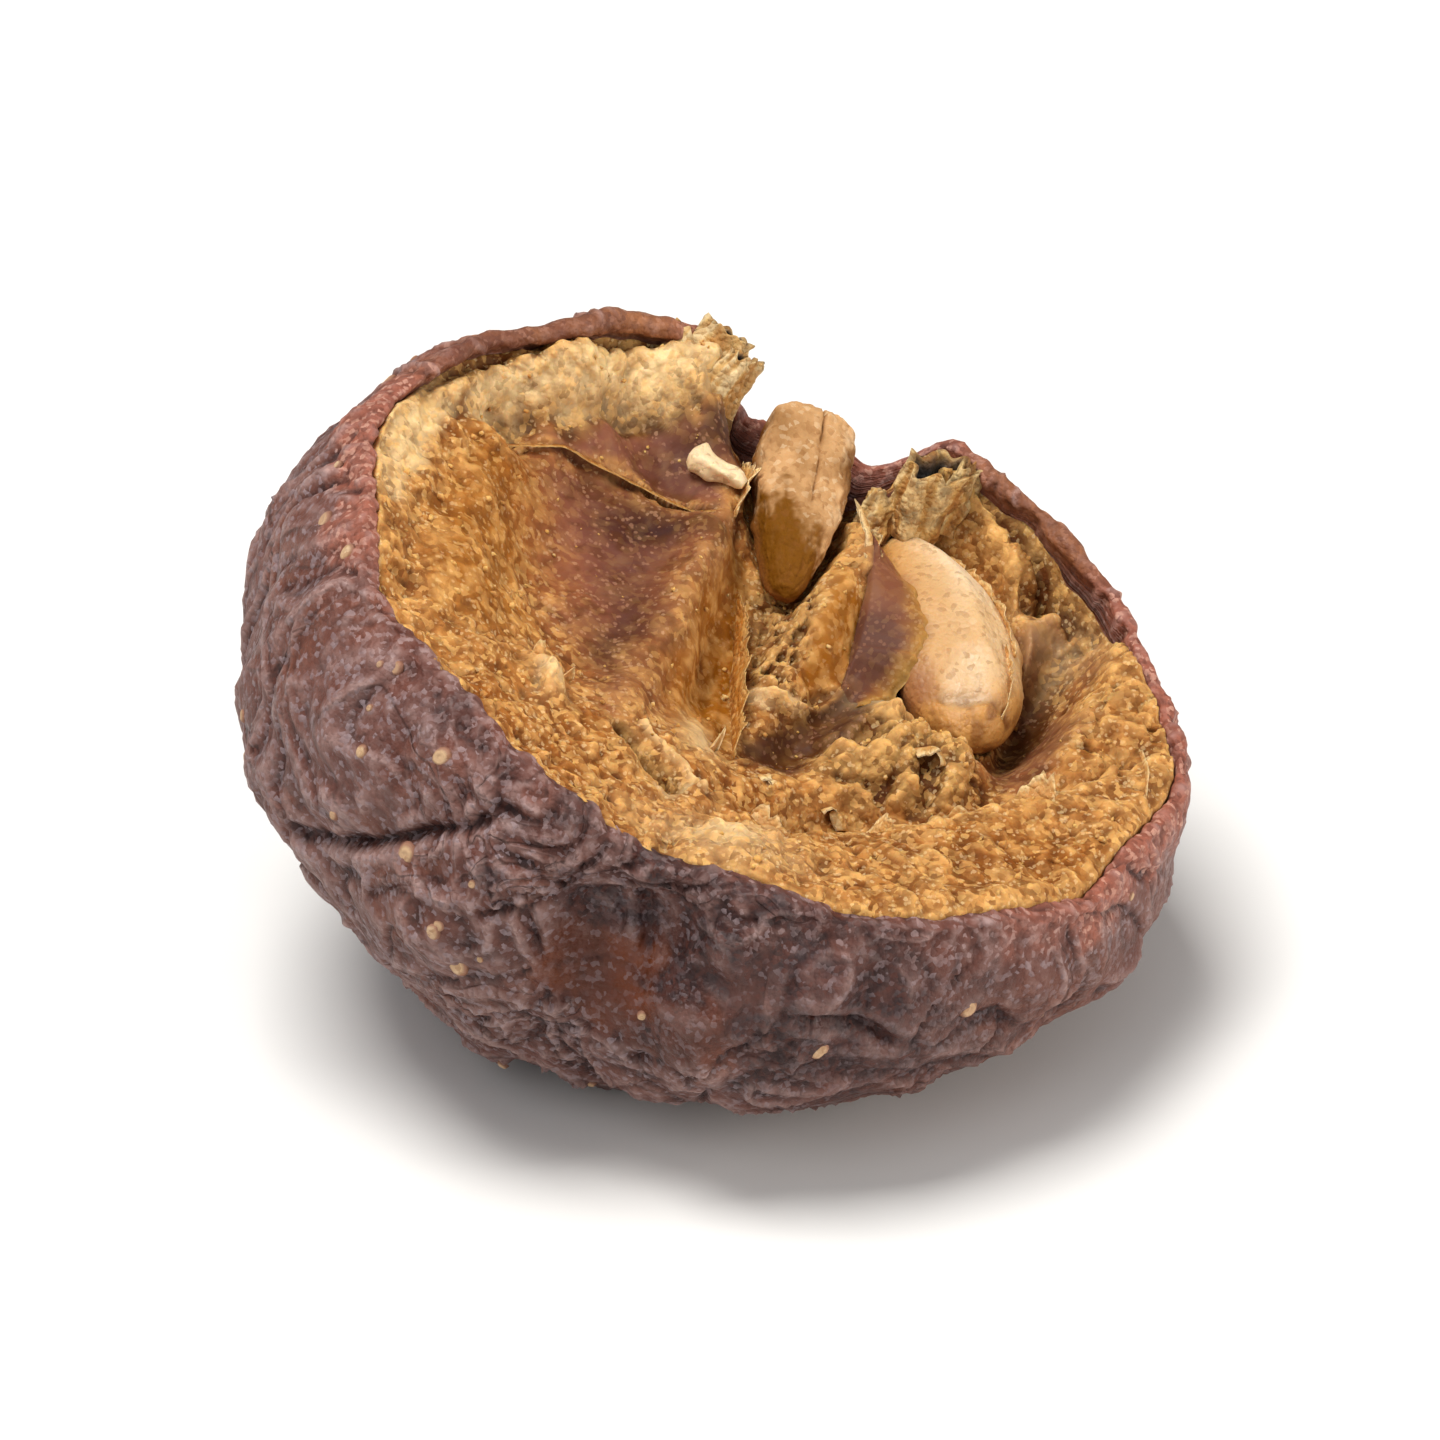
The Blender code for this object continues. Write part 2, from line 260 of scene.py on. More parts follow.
@dataclass(frozen=True)
class Path:
    """A line through points of the cut face."""

    points: tuple[Spot, ...]

    def nearest(self, u: Array, v: Array) -> tuple[Array, Array, Array]:
        """Measures points against the line.

        Args:
            u, v: Coordinates across and along the core.

        Returns:
            The distance, 1 left of the line or -1 right of it, and the share along it.
        """
        legs = list(zip(self.points, self.points[1:]))
        total = sum(math.dist(start, end) for start, end in legs)
        gap = np.full(np.shape(u), 1e9)
        side = np.zeros(np.shape(u))
        along = np.zeros(np.shape(u))
        run = 0.0
        for (u0, v0), (u1, v1) in legs:
            du, dv = u1 - u0, v1 - v0
            length = math.hypot(du, dv)
            share = np.clip(((u - u0) * du + (v - v0) * dv) / length**2, 0.0, 1.0)
            off_u, off_v = u - u0 - share * du, v - v0 - share * dv
            near = np.hypot(off_u, off_v)
            closer = near < gap
            gap = np.where(closer, near, gap)
            side = np.where(closer, np.sign(du * off_v - dv * off_u), side)
            along = np.where(closer, (run + share * length) / total, along)
            run += length
        return gap, side, along

    def ridge(self, u: Array, v: Array, width: float) -> Array:
        """1 on the line, falling softly to about a third at a width."""
        return ridge(self.nearest(u, v)[0], width)

    def band(self, u: Array, v: Array, width: float, softness: float = 0.4) -> Array:
        """1 near the line, 0 beyond a half width."""
        return smooth(1.0 + softness, 1.0 - softness, self.nearest(u, v)[0] / width)


@dataclass(frozen=True)
class Rim:
    """The edge of the skin round the cut, by its angle about the face's middle."""

    radius: float = 12.0
    wave: float = 0.5
    waves: float = 2.6
    edge_wave: float = 0.45
    edge_waves: float = 3.1
    curl_height: float = 0.25
    left_curl: Spot = (math.radians(120.0), math.radians(168.0))
    right_curl: Spot = (math.radians(48.0), math.radians(76.0))
    notch_angle: float = math.radians(97.0)
    notch_half_width: float = math.radians(19.0)
    notch_depth: float = 2.1
    notch_inset: float = 0.5
    pit_angle: float = math.radians(-88.0)
    pit_half_width: float = math.radians(16.0)
    pit_dip: float = 0.5
    pit_inset: float = 0.45
    nibble: float = 0.14
    nibbles: float = 15.0
    left_curl_inset: float = 0.3
    right_curl_inset: float = 0.65

    @staticmethod
    def _beside(angle: Array, middle: float, half_width: float) -> Array:
        """How far an angle is from a middle, in half widths."""
        return np.abs((angle - middle + math.pi) % math.tau - math.pi) / half_width

    def notch(self, angle: Array) -> Array:
        """1 in the middle of the calyx notch, 0 outside it."""
        return 1.0 - smooth(0.45, 1.0, self._beside(angle, self.notch_angle, self.notch_half_width))

    def pit(self, angle: Array) -> Array:
        """1 in the middle of the stem pit, 0 outside it."""
        return 1.0 - smooth(0.1, 1.0, self._beside(angle, self.pit_angle, self.pit_half_width))

    def curls(self, angle: Array) -> list[Array]:
        """1 along the left and along the right curl of the skin's edge."""
        turn = angle % math.tau
        ends = (self.left_curl, self.right_curl)
        return [smooth(a - 0.1, a + 0.1, turn) * smooth(b + 0.15, b - 0.15, turn) for a, b in ends]

    def curl(self, angle: Array) -> Array:
        """1 where the skin's edge curls inward, 0 elsewhere."""
        return sum(self.curls(angle))

    def radius_at(self, angle: Array) -> Array:
        """Distance from the face's middle to the outer edge of the skin."""
        wave = self.wave * rough(circle(angle) * self.waves, (3.1, 0.0, 0.0))
        inset = self.notch_inset * self.notch(angle) + self.pit_inset * self.pit(angle)
        left, right = self.curls(angle)
        inset = inset + self.left_curl_inset * left + self.right_curl_inset * right
        return self.radius + wave - inset

    def height_at(self, angle: Array) -> Array:
        """Height of the skin's edge above the plane of the cut."""
        wave = self.edge_wave * rough(circle(angle) * self.edge_waves, (0.0, 7.7, 0.0))
        wave = wave + self.nibble * rough(circle(angle) * self.nibbles, (4.4, 1.0, 0.0))
        dip = self.notch_depth * self.notch(angle) + self.pit_dip * self.pit(angle)
        return wave + self.curl_height * self.curl(angle) - dip


RIM = Rim()


@dataclass(frozen=True)
class Crease:
    """A deep crease of the wall, from one point of face coordinates to another."""

    start: Point
    end: Point
    width: float
    depth: float

    def depth_at(self, spots: Array) -> Array:
        """How deep the crease is at points."""
        start, run = np.array(self.start), np.array(self.end) - np.array(self.start)
        share = np.clip((spots - start) @ run / (run @ run), 0.0, 1.0)
        gap = np.linalg.norm(spots - start - share[..., None] * run, axis=-1)
        fade = smooth(0.0, 0.2, share) * smooth(1.0, 0.8, share)
        return self.depth * (0.3 + 0.7 * fade) * ridge(gap, self.width)


@dataclass(frozen=True)
class Body:
    """The folded wall of the fruit, from the rim down to the belly."""

    radius: float = 13.25
    half_height: float = 8.1
    belly_depth: float = 8.75
    boxiness: float = 2.25
    lean: float = math.radians(17.7)
    belly_lean: float = math.radians(-7.5)
    lean_heading: float = math.radians(-21.8)
    fold_height: float = 0.42
    fold_along: float = 7.0
    fold_across: float = 2.9
    cross_fold_size: float = 4.2
    crease_softness: float = 0.05
    roll_scale: float = 2.4
    rim_settle: float = 0.22
    fold_start: float = 0.1
    stem_pit_depth: float = 1.6
    stem_pit_reach: float = 0.55
    calyx_pit_depth: float = 1.7
    calyx_pit_reach: float = 0.45
    creases: tuple[Crease, ...] = (
        Crease((-9.0, -9.8, -7.2), (-4.0, -12.0, -1.2), 0.75, 0.4),
        Crease((1.0, -11.2, -0.6), (2.7, -12.0, -4.2), 0.7, 0.8),
        Crease((4.2, -12.6, -2.6), (0.2, -11.8, -4.4), 0.6, 0.55),
        Crease((8.6, -9.4, -2.4), (11.8, -4.2, -3.4), 0.6, 0.5),
    )

    def _axis(self, lean: float) -> Array:
        """The upright direction, leant along the body's lean."""
        side = math.sin(lean)
        heading = self.lean_heading
        return np.array((side * math.cos(heading), side * math.sin(heading), math.cos(lean)))

    def _spheroid(self, direction: Array, axis: Array, half_height: float) -> Array:
        """Distance from the body's centre to a boxy flattened sphere."""
        rise = direction @ axis
        up = np.abs(rise) / half_height
        out = np.sqrt(np.maximum(1.0 - rise * rise, 0.0)) / self.radius
        return (up**self.boxiness + out**self.boxiness) ** (-1.0 / self.boxiness)

    def reach(self, direction: Array) -> Array:
        """Distance from the body's centre to the plain wall."""
        leaning = self._spheroid(direction, self._axis(self.lean), self.half_height)
        belly = self._spheroid(direction, self._axis(self.belly_lean), self.belly_depth)
        return mix(leaning, belly, smooth(0.25, 0.85, -direction[..., 2]))

    def _rolls(self, spots: Array) -> Array:
        """Rounded rolls, 0 in the creases between them."""
        soft = self.crease_softness
        return self.roll_scale * (np.hypot(rough(spots), soft) - soft)

    def folds(self, spots: Array) -> Array:
        """Height of the large folds and deep creases at face coordinates."""
        sizes = np.array((self.fold_across, self.fold_along, self.fold_across))
        cross = self._rolls(spots / self.cross_fold_size + np.array((9.0, 2.0, 5.0)))
        height = self.fold_height * (0.65 * self._rolls(spots / sizes) + 0.35 * cross - 0.5)
        return height - sum(crease.depth_at(spots) for crease in self.creases)

    def wall(self, angle: Array, drop: Array) -> tuple[Array, Array]:
        """Follows the wall down from the rim.

        Args:
            angle: Directions round the rim.
            drop: Shares of the way from the rim to the middle of the belly.

        Returns:
            World points of the folded wall, and the outward directions there.
        """
        normal = FACE.normal
        side = circle(angle) @ FACE.turn.T
        rise = FACE.above_centre + RIM.height_at(angle)
        rim = RIM.radius_at(angle)[..., None] * side + rise[..., None] * normal
        rim_length = np.linalg.norm(rim, axis=-1)
        rim_slope = np.arccos(np.clip((rim @ normal) / rim_length, -1.0, 1.0))
        slope = rim_slope + (math.pi - rim_slope) * drop
        direction = np.sin(slope)[..., None] * side + np.cos(slope)[..., None] * normal
        rim_share = rim_length / self.reach(rim / rim_length[..., None])
        settle = smooth(self.rim_settle, 0.0, drop)
        reach = self.reach(direction) * (1.0 + (rim_share - 1.0) * settle)
        plain = FACE.body_centre + reach[..., None] * direction
        pucker = self.stem_pit_depth * RIM.pit(angle) * smooth(self.stem_pit_reach, 0.1, drop)
        pucker = pucker + self.calyx_pit_depth * RIM.notch(angle) * smooth(
            self.calyx_pit_reach, 0.05, drop
        )
        folded = (self.folds(FACE.face(plain)) - pucker) * smooth(0.0, self.fold_start, drop)
        return plain + folded[..., None] * direction, direction


BODY = Body()


# Mesh making


@dataclass
class Sheet:
    """Points and faces gathered for one mesh, with values kept at each point."""

    points: list[Array] = field(default_factory=list)
    faces: list[Array] = field(default_factory=list)
    values: list[Masks] = field(default_factory=list)
    count: int = 0

    def add(self, points: Array, values: Masks | None = None) -> Array:
        """Adds points.

        Args:
            points: World points in millimetres, in any grid.
            values: Named values of the same grid.

        Returns:
            The points' numbers, in the same grid.
        """
        shape = points.shape[:-1]
        size = int(np.prod(shape))
        numbers = np.arange(self.count, self.count + size).reshape(shape)
        self.points.append(points.reshape(-1, 3))
        flat = {name: np.broadcast_to(value, shape).ravel() for name, value in (values or {}).items()}
        self.values.append(flat)
        self.count += size
        return numbers

    def keep(self, faces: Array, flip: bool = False) -> None:
        """Keeps faces, turned over where asked."""
        self.faces.append(faces[:, ::-1] if flip else faces)

    def grid(self, rows: Array, flip: bool = False, closed: bool = True) -> None:
        """Joins rows of points by quads.

        Args:
            rows: Point numbers, rows downward and columns counter-clockwise.
            flip: Turns the faces inward.
            closed: Whether the columns close round.
        """
        if closed:
            rows = np.concatenate([rows, rows[:, :1]], axis=1)
        a, b, c, d = rows[:-1, :-1], rows[1:, :-1], rows[1:, 1:], rows[:-1, 1:]
        self.keep(np.stack([a, b, c, d], axis=-1).reshape(-1, 4), flip)

    def step_down(self, fine: Array, coarse: Array, flip: bool = False) -> None:
        """Joins a ring to the ring below it that has fewer points by a whole factor."""
        factor = len(fine) // len(coarse)
        upper = np.append(fine, fine[0])
        lower = np.append(coarse, coarse[0])
        made = []
        for k in range(len(coarse)):
            for i in range(factor):
                foot = lower[k] if i < factor / 2 else lower[k + 1]
                made.append((upper[k * factor + i], foot, upper[k * factor + i + 1]))
            made.append((upper[k * factor + math.ceil(factor / 2)], lower[k], lower[k + 1]))
        self.keep(np.array(made), flip)

    def cap(self, ring: Array, tip: Array, flip: bool = False) -> None:
        """Adds a point and closes a ring with it, the ring being above it unless flipped."""
        end = np.full(len(ring), self.add(tip[None, :])[0])
        self.keep(np.stack([ring, end, np.roll(ring, -1)], axis=-1), flip)

    def closed_tube(self, rings: Array, values: Masks | None = None) -> None:
        """Adds flat rings, foot to top, as a closed solid that faces outward.

        Args:
            rings: World points: one ring a row, its second half running back beside the first.
            values: Named values of the same grid.
        """
        half = rings.shape[1] // 2
        rows = np.arange(self.count, self.count + rings[..., 0].size).reshape(rings.shape[:-1])
        looped = np.concatenate([rows, rows[:, :1]], axis=1)
        sides = np.stack([looped[:-1, :-1], looped[1:, :-1], looped[1:, 1:], looped[:-1, 1:]], -1)
        lids = []
        for row, flip in ((rows[0], False), (rows[-1], True)):
            front, back = row[:half], row[::-1][:half]
            lid = np.stack([front[:-1], back[:-1], back[1:], front[1:]], -1)
            lids.append(lid[:, ::-1] if flip else lid)
        faces = np.concatenate([sides.reshape(-1, 4), *lids])
        a, b, c, d = (rings.reshape(-1, 3)[faces[:, k] - self.count] for k in range(4))
        volume = np.einsum("ij,ij->", a, np.cross(b, c) + np.cross(c, d))
        self.add(rings, values)
        self.keep(faces, bool(volume < 0.0))

    def line(self, edge: Array, angle: Array, drop: Array, inset: float, flip: bool = False) -> None:
        """Adds a second wall inside the folded one, from a ring of points down to the belly.

        Args:
            edge: Numbers of the ring's points, a whole number of times as many as the angles.
            angle: Directions round the rim.
            drop: Shares of the way down, one for each ring of the wall.
            inset: How far inside the folded wall it lies, and how far above the floor.
            flip: Turns the faces inward.
        """
        around = angle[None, :] + 0.0 * drop[:, None]
        wall, facing = BODY.wall(around, drop[:, None] + 0.0 * around)
        inner = wall - inset * facing
        inner[..., 2] = np.maximum(inner[..., 2], inset)
        rows = self.add(inner)
        self.step_down(edge, rows[0], flip)
        self.grid(rows, flip)
        self.cap(rows[-1], inner[-1].mean(0), flip)

    def mesh(self, name: str) -> bpy.types.Mesh:
        """Makes the mesh, in metres, with its values as attributes."""
        mesh = bpy.data.meshes.new(name)
        faces = [face for block in self.faces for face in block.tolist()]
        mesh.from_pydata((np.concatenate(self.points) * MM).tolist(), [], faces)
        for key in sorted({key for block in self.values for key in block}):
            parts = [block.get(key, np.zeros(len(spots))) for block, spots in zip(self.values, self.points)]
            layer = mesh.attributes.new(key, "FLOAT", "POINT")
            layer.data.foreach_set("value", np.concatenate(parts).astype(np.float32))
        mesh.shade_smooth()
        return mesh


# Shader helpers


@dataclass
class Net:
    """Adds and joins the nodes of one shader tree."""

    tree: Tree

    def put(self, target: Socket, value: object) -> None:
        """Links a socket to an input, or sets the input's value."""
        if isinstance(value, Socket):
            self.tree.links.new(value, target)
        elif isinstance(value, tuple) and target.type == "RGBA":
            target.default_value = (*value, 1.0)
        else:
            target.default_value = value

    def fill(self, node: bpy.types.Node, values: dict[str | int, object]) -> bpy.types.Node:
        """Gives inputs, by their names or numbers, a value or a link, and returns the node."""
        for key, value in values.items():
            self.put(node.inputs[key], value)
        return node

    def node(self, kind: str, values: dict[str | int, object], **settings: object) -> bpy.types.Node:
        """Makes a shader node.

        Args:
            kind: Its type, without the word that starts every shader node's.
            values: Values or links of its inputs.
            **settings: Its properties.

        Returns:
            The node.
        """
        made = self.tree.nodes.new(f"ShaderNode{kind}")
        for name, value in settings.items():
            setattr(made, name, value)
        return self.fill(made, values)

    def math(self, operation: str, *values: object) -> Socket:
        """A sum, product or other operation on numbers."""
        return self.node("Math", dict(enumerate(values)), operation=operation).outputs[0]

    def vector(self, operation: str, values: dict[str | int, object]) -> Socket:
        """An operation on vectors."""
        return self.node("VectorMath", values, operation=operation).outputs[0]

    def times(self, first: object, *others: object) -> Socket:
        """The product of two or more numbers."""
        for other in others:
            first = self.math("MULTIPLY", first, other)
        return first

    def band(self, value: object, low: object, high: object, first: float = 0.0, last: float = 1.0) -> Socket:
        """Goes softly from first at low to last at high."""
        values = dict(enumerate((value, low, high, first, last)))
        return self.node("MapRange", values, interpolation_type="SMOOTHSTEP").outputs[0]

    def fade(self, value: object, first: float, last: float) -> Socket:
        """Goes softly from first to last as a mask goes from 0 to 1."""
        return self.band(value, 0.0, 1.0, first, last)

    def blend(self, share: object, first: object, second: object) -> Socket:
        """Blends two colours."""
        return self.node("Mix", {0: share, 6: first, 7: second}, data_type="RGBA").outputs[2]

    def mask(self, name: str) -> Socket:
        """A value kept at the mesh's points."""
        return self.node("Attribute", {}, attribute_name=name).outputs["Fac"]

    def group(self, tree: Tree, **values: object) -> dict[str, Socket]:
        """Places a node group with these inputs, and gives its outputs by name."""
        return {output.name: output for output in self.node("Group", values, node_tree=tree).outputs}


@dataclass(frozen=True)
class Effects:
    """The surface effects that several finishes share, as node groups."""

    mottle: Tree
    grain: Tree
    wrinkles: Tree
    age: Tree

    @staticmethod
    def _open(name: str, outputs: tuple[str, ...], **inputs: object) -> tuple:
        """Starts a group with named sockets.

        Args:
            name: The group's name.
            outputs: Names of its outputs: Colour for a colour, any other for a number.
            **inputs: Its inputs' values.

        Returns:
            The group's net, the sockets of its inputs, and the node that takes its outputs.
        """
        tree = bpy.data.node_groups.new(name, "ShaderNodeTree")
        for label, value in inputs.items():
            kind = "NodeSocketColor" if isinstance(value, tuple) else "NodeSocketFloat"
            socket = tree.interface.new_socket(name=label, in_out="INPUT", socket_type=kind)
            socket.default_value = (*value, 1.0) if isinstance(value, tuple) else value
        for label in outputs:
            kind = "NodeSocketColor" if label == "Colour" else "NodeSocketFloat"
            tree.interface.new_socket(name=label, in_out="OUTPUT", socket_type=kind)
        given, out = tree.nodes.new("NodeGroupInput"), tree.nodes.new("NodeGroupOutput")
        return Net(tree), given.outputs, out

    @classmethod
    def _mottle(cls) -> Tree:
        """Soft uneven patches of a given size in millimetres."""
        net, given, out = cls._open("uneven patches", ("Patches",), Size=2.0, Low=0.4, High=0.6, Seed=0.0)
        spot = net.node("TexCoord", {}).outputs["Object"]
        drawn = {"Vector": spot, "W": given["Seed"], "Scale": net.math("DIVIDE", 1.0 / MM, given["Size"])}
        pattern = net.node("TexNoise", drawn | {"Detail": 3.0}, noise_dimensions="4D").outputs[0]
        net.fill(out, {"Patches": net.band(pattern, given["Low"], given["High"])})
        return net.tree

    @classmethod
    def _grain(cls) -> Tree:
        """Fine granules: their height, the pits between them, and a shade for each."""
        net, given, out = cls._open("fine granules", ("Height", "Pits", "Shade"), Size=0.25)
        spot = net.node("TexCoord", {}).outputs["Object"]
        scale = net.math("DIVIDE", 1.0 / MM, given["Size"])
        drawn = {"Vector": spot, "Scale": net.times(scale, 0.6), "Detail": 5.0, "Roughness": 0.65}
        haze = net.node("TexNoise", drawn).outputs
        off = net.vector("SUBTRACT", {0: haze[1], 1: (0.5, 0.5, 0.5)})
        reach = net.vector("SCALE", {0: off, 3: net.times(given["Size"], 1.1 * MM)})
        bent = net.vector("ADD", {0: reach, 1: spot})
        cells = net.node("TexVoronoi", {"Vector": bent, "Scale": scale}, feature="F1").outputs
        dome = net.times(net.band(cells["Distance"], 0.75, 0.1), 0.5)
        found = {
            "Height": net.math("ADD", dome, haze[0]),
            "Pits": net.band(cells["Distance"], 0.45, 0.8),
            "Shade": net.node("SeparateColor", {0: cells["Color"]}).outputs[0],
        }
        net.fill(out, found)
        return net.tree

    @classmethod
    def _wrinkles(cls) -> Tree:
        """Fine winding wrinkles: their height, thin ridges and dark creases."""
        places = {"Across": 0.0, "Along": 0.0, "Depth": 0.0}
        net, given, out = cls._open(
            "winding wrinkles", ("Height", "Ridges", "Creases"), **places, Lengthwise=0.0, Size=0.5, Seed=0.0
        )
        place = net.node("CombineXYZ", {k: given[label] for k, label in enumerate(places)}).outputs[0]
        scale = net.math("DIVIDE", 1.0, given["Size"])
        found = []
        for stretch in ((0.45, 1.0, 0.45), (1.0, 0.36, 1.0)):
            drawn = {"Vector": net.vector("MULTIPLY", {0: place, 1: stretch}), "W": given["Seed"]}
            drawn |= {"Scale": scale, "Detail": 1.5, "Distortion": 0.35}
            pattern = net.node("TexNoise", drawn, noise_dimensions="4D").outputs[1]
            found.append(net.node("SeparateColor", {0: pattern}).outputs)
        lines = []
        for k in (0, 1):
            values = {0: given["Lengthwise"], 2: found[0][k], 3: found[1][k]}
            mixed = net.node("Mix", values, data_type="FLOAT").outputs[0]
            lines.append(net.math("ABSOLUTE", net.math("SUBTRACT", mixed, 0.5)))
        ridges = net.band(lines[0], 0.05, 0.0)
        creases = net.band(lines[1], 0.035, 0.0)
        height = net.math("ADD", net.times(ridges, 0.4), net.band(lines[0], 0.2, 0.0, 0.0, 0.6))
        height = net.math("SUBTRACT", height, net.times(creases, 0.6))
        net.fill(out, {"Height": height, "Ridges": ridges, "Creases": creases})
        return net.tree

    @classmethod
    def _age(cls) -> Tree:
        """Darkens a colour with painted shade in its hollows and lightens its crests with a painted
        highlight, in places also real dryness or bloom.
        """
        colours = {"Colour": (0.5, 0.5, 0.5), "Dark": (0.1, 0.05, 0.02), "Light": (0.8, 0.6, 0.4)}
        net, given, out = cls._open("hollows and crests", ("Colour",), **colours, Hollow=0.0, Crest=0.0)
        low = net.blend(given["Hollow"], given["Colour"], given["Dark"])
        net.fill(out, {"Colour": net.blend(given["Crest"], low, given["Light"])})
        return net.tree

    @classmethod
    def made(cls) -> "Effects":
        """Builds the groups once."""
        return cls(cls._mottle(), cls._grain(), cls._wrinkles(), cls._age())

@dataclass(frozen=True)
class Finish:
    """What every finish has: a name, and a Principled shader that it fills."""

    name: str = "finish"
    roughness: float = 0.6
    gloss: float = 0.5
    glow: float = 0.0
    glow_depth: float = 0.6
    bump: float = 0.3
    bump_height: float = 0.1

    def dress(self, net: Net, effects: Effects) -> dict[str, Socket]:
        """The sockets that change over the surface: Base Color, Roughness and Height."""
        raise NotImplementedError

    def material(self, effects: Effects) -> bpy.types.Material:
        """Makes the material, or finds it where another piece has it already.

        Args:
            effects: The shared node groups.

        Returns:
            The material.
        """
        made = bpy.data.materials.get(self.name)
        if made is not None:
            return made
        made = bpy.data.materials.new(self.name)
        made.use_nodes = True
        net = Net(made.node_tree)
        shader = made.node_tree.nodes["Principled BSDF"]
        net.fill(shader, {"Roughness": self.roughness, "Specular IOR Level": self.gloss})
        if self.glow > 0.0:
            shader.subsurface_method = "RANDOM_WALK"
            reach = {"Subsurface Radius": GLOW_REACH, "Subsurface Scale": self.glow_depth * MM}
            net.fill(shader, {"Subsurface Weight": self.glow} | reach)
        found = self.dress(net, effects)
        drawn = {"Strength": self.bump, "Distance": self.bump_height * MM, "Height": found.pop("Height")}
        net.fill(shader, found | {"Normal": net.node("Bump", drawn).outputs[0]})
        return made


@dataclass
class Piece:
    """A piece of the scene: its name, finish and slot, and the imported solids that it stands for."""

    name: ClassVar[str]
    finish: ClassVar[Finish]
    slot: ClassVar[Slot] = Slot.BERRY
    nodes: ClassVar[tuple[Node, ...]] = ()

    def fill(self, sheet: Sheet) -> None:
        """Adds the piece's points and faces to a sheet."""
        raise NotImplementedError

    def build(self, effects: Effects) -> bpy.types.Object:
        """Makes the piece.

        Args:
            effects: The shared node groups.

        Returns:
            The piece.
        """
        sheet = Sheet()
        self.fill(sheet)
        made = bpy.data.objects.new(self.name, sheet.mesh(self.name))
        made.data.materials.append(self.finish.material(effects))
        bpy.context.scene.collection.objects.link(made)
        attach(made, "root")
        for node in self.nodes:
            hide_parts(node.value)
        log.info("%s: %d points, %d faces", self.name, sheet.count, len(made.data.polygons))
        return made


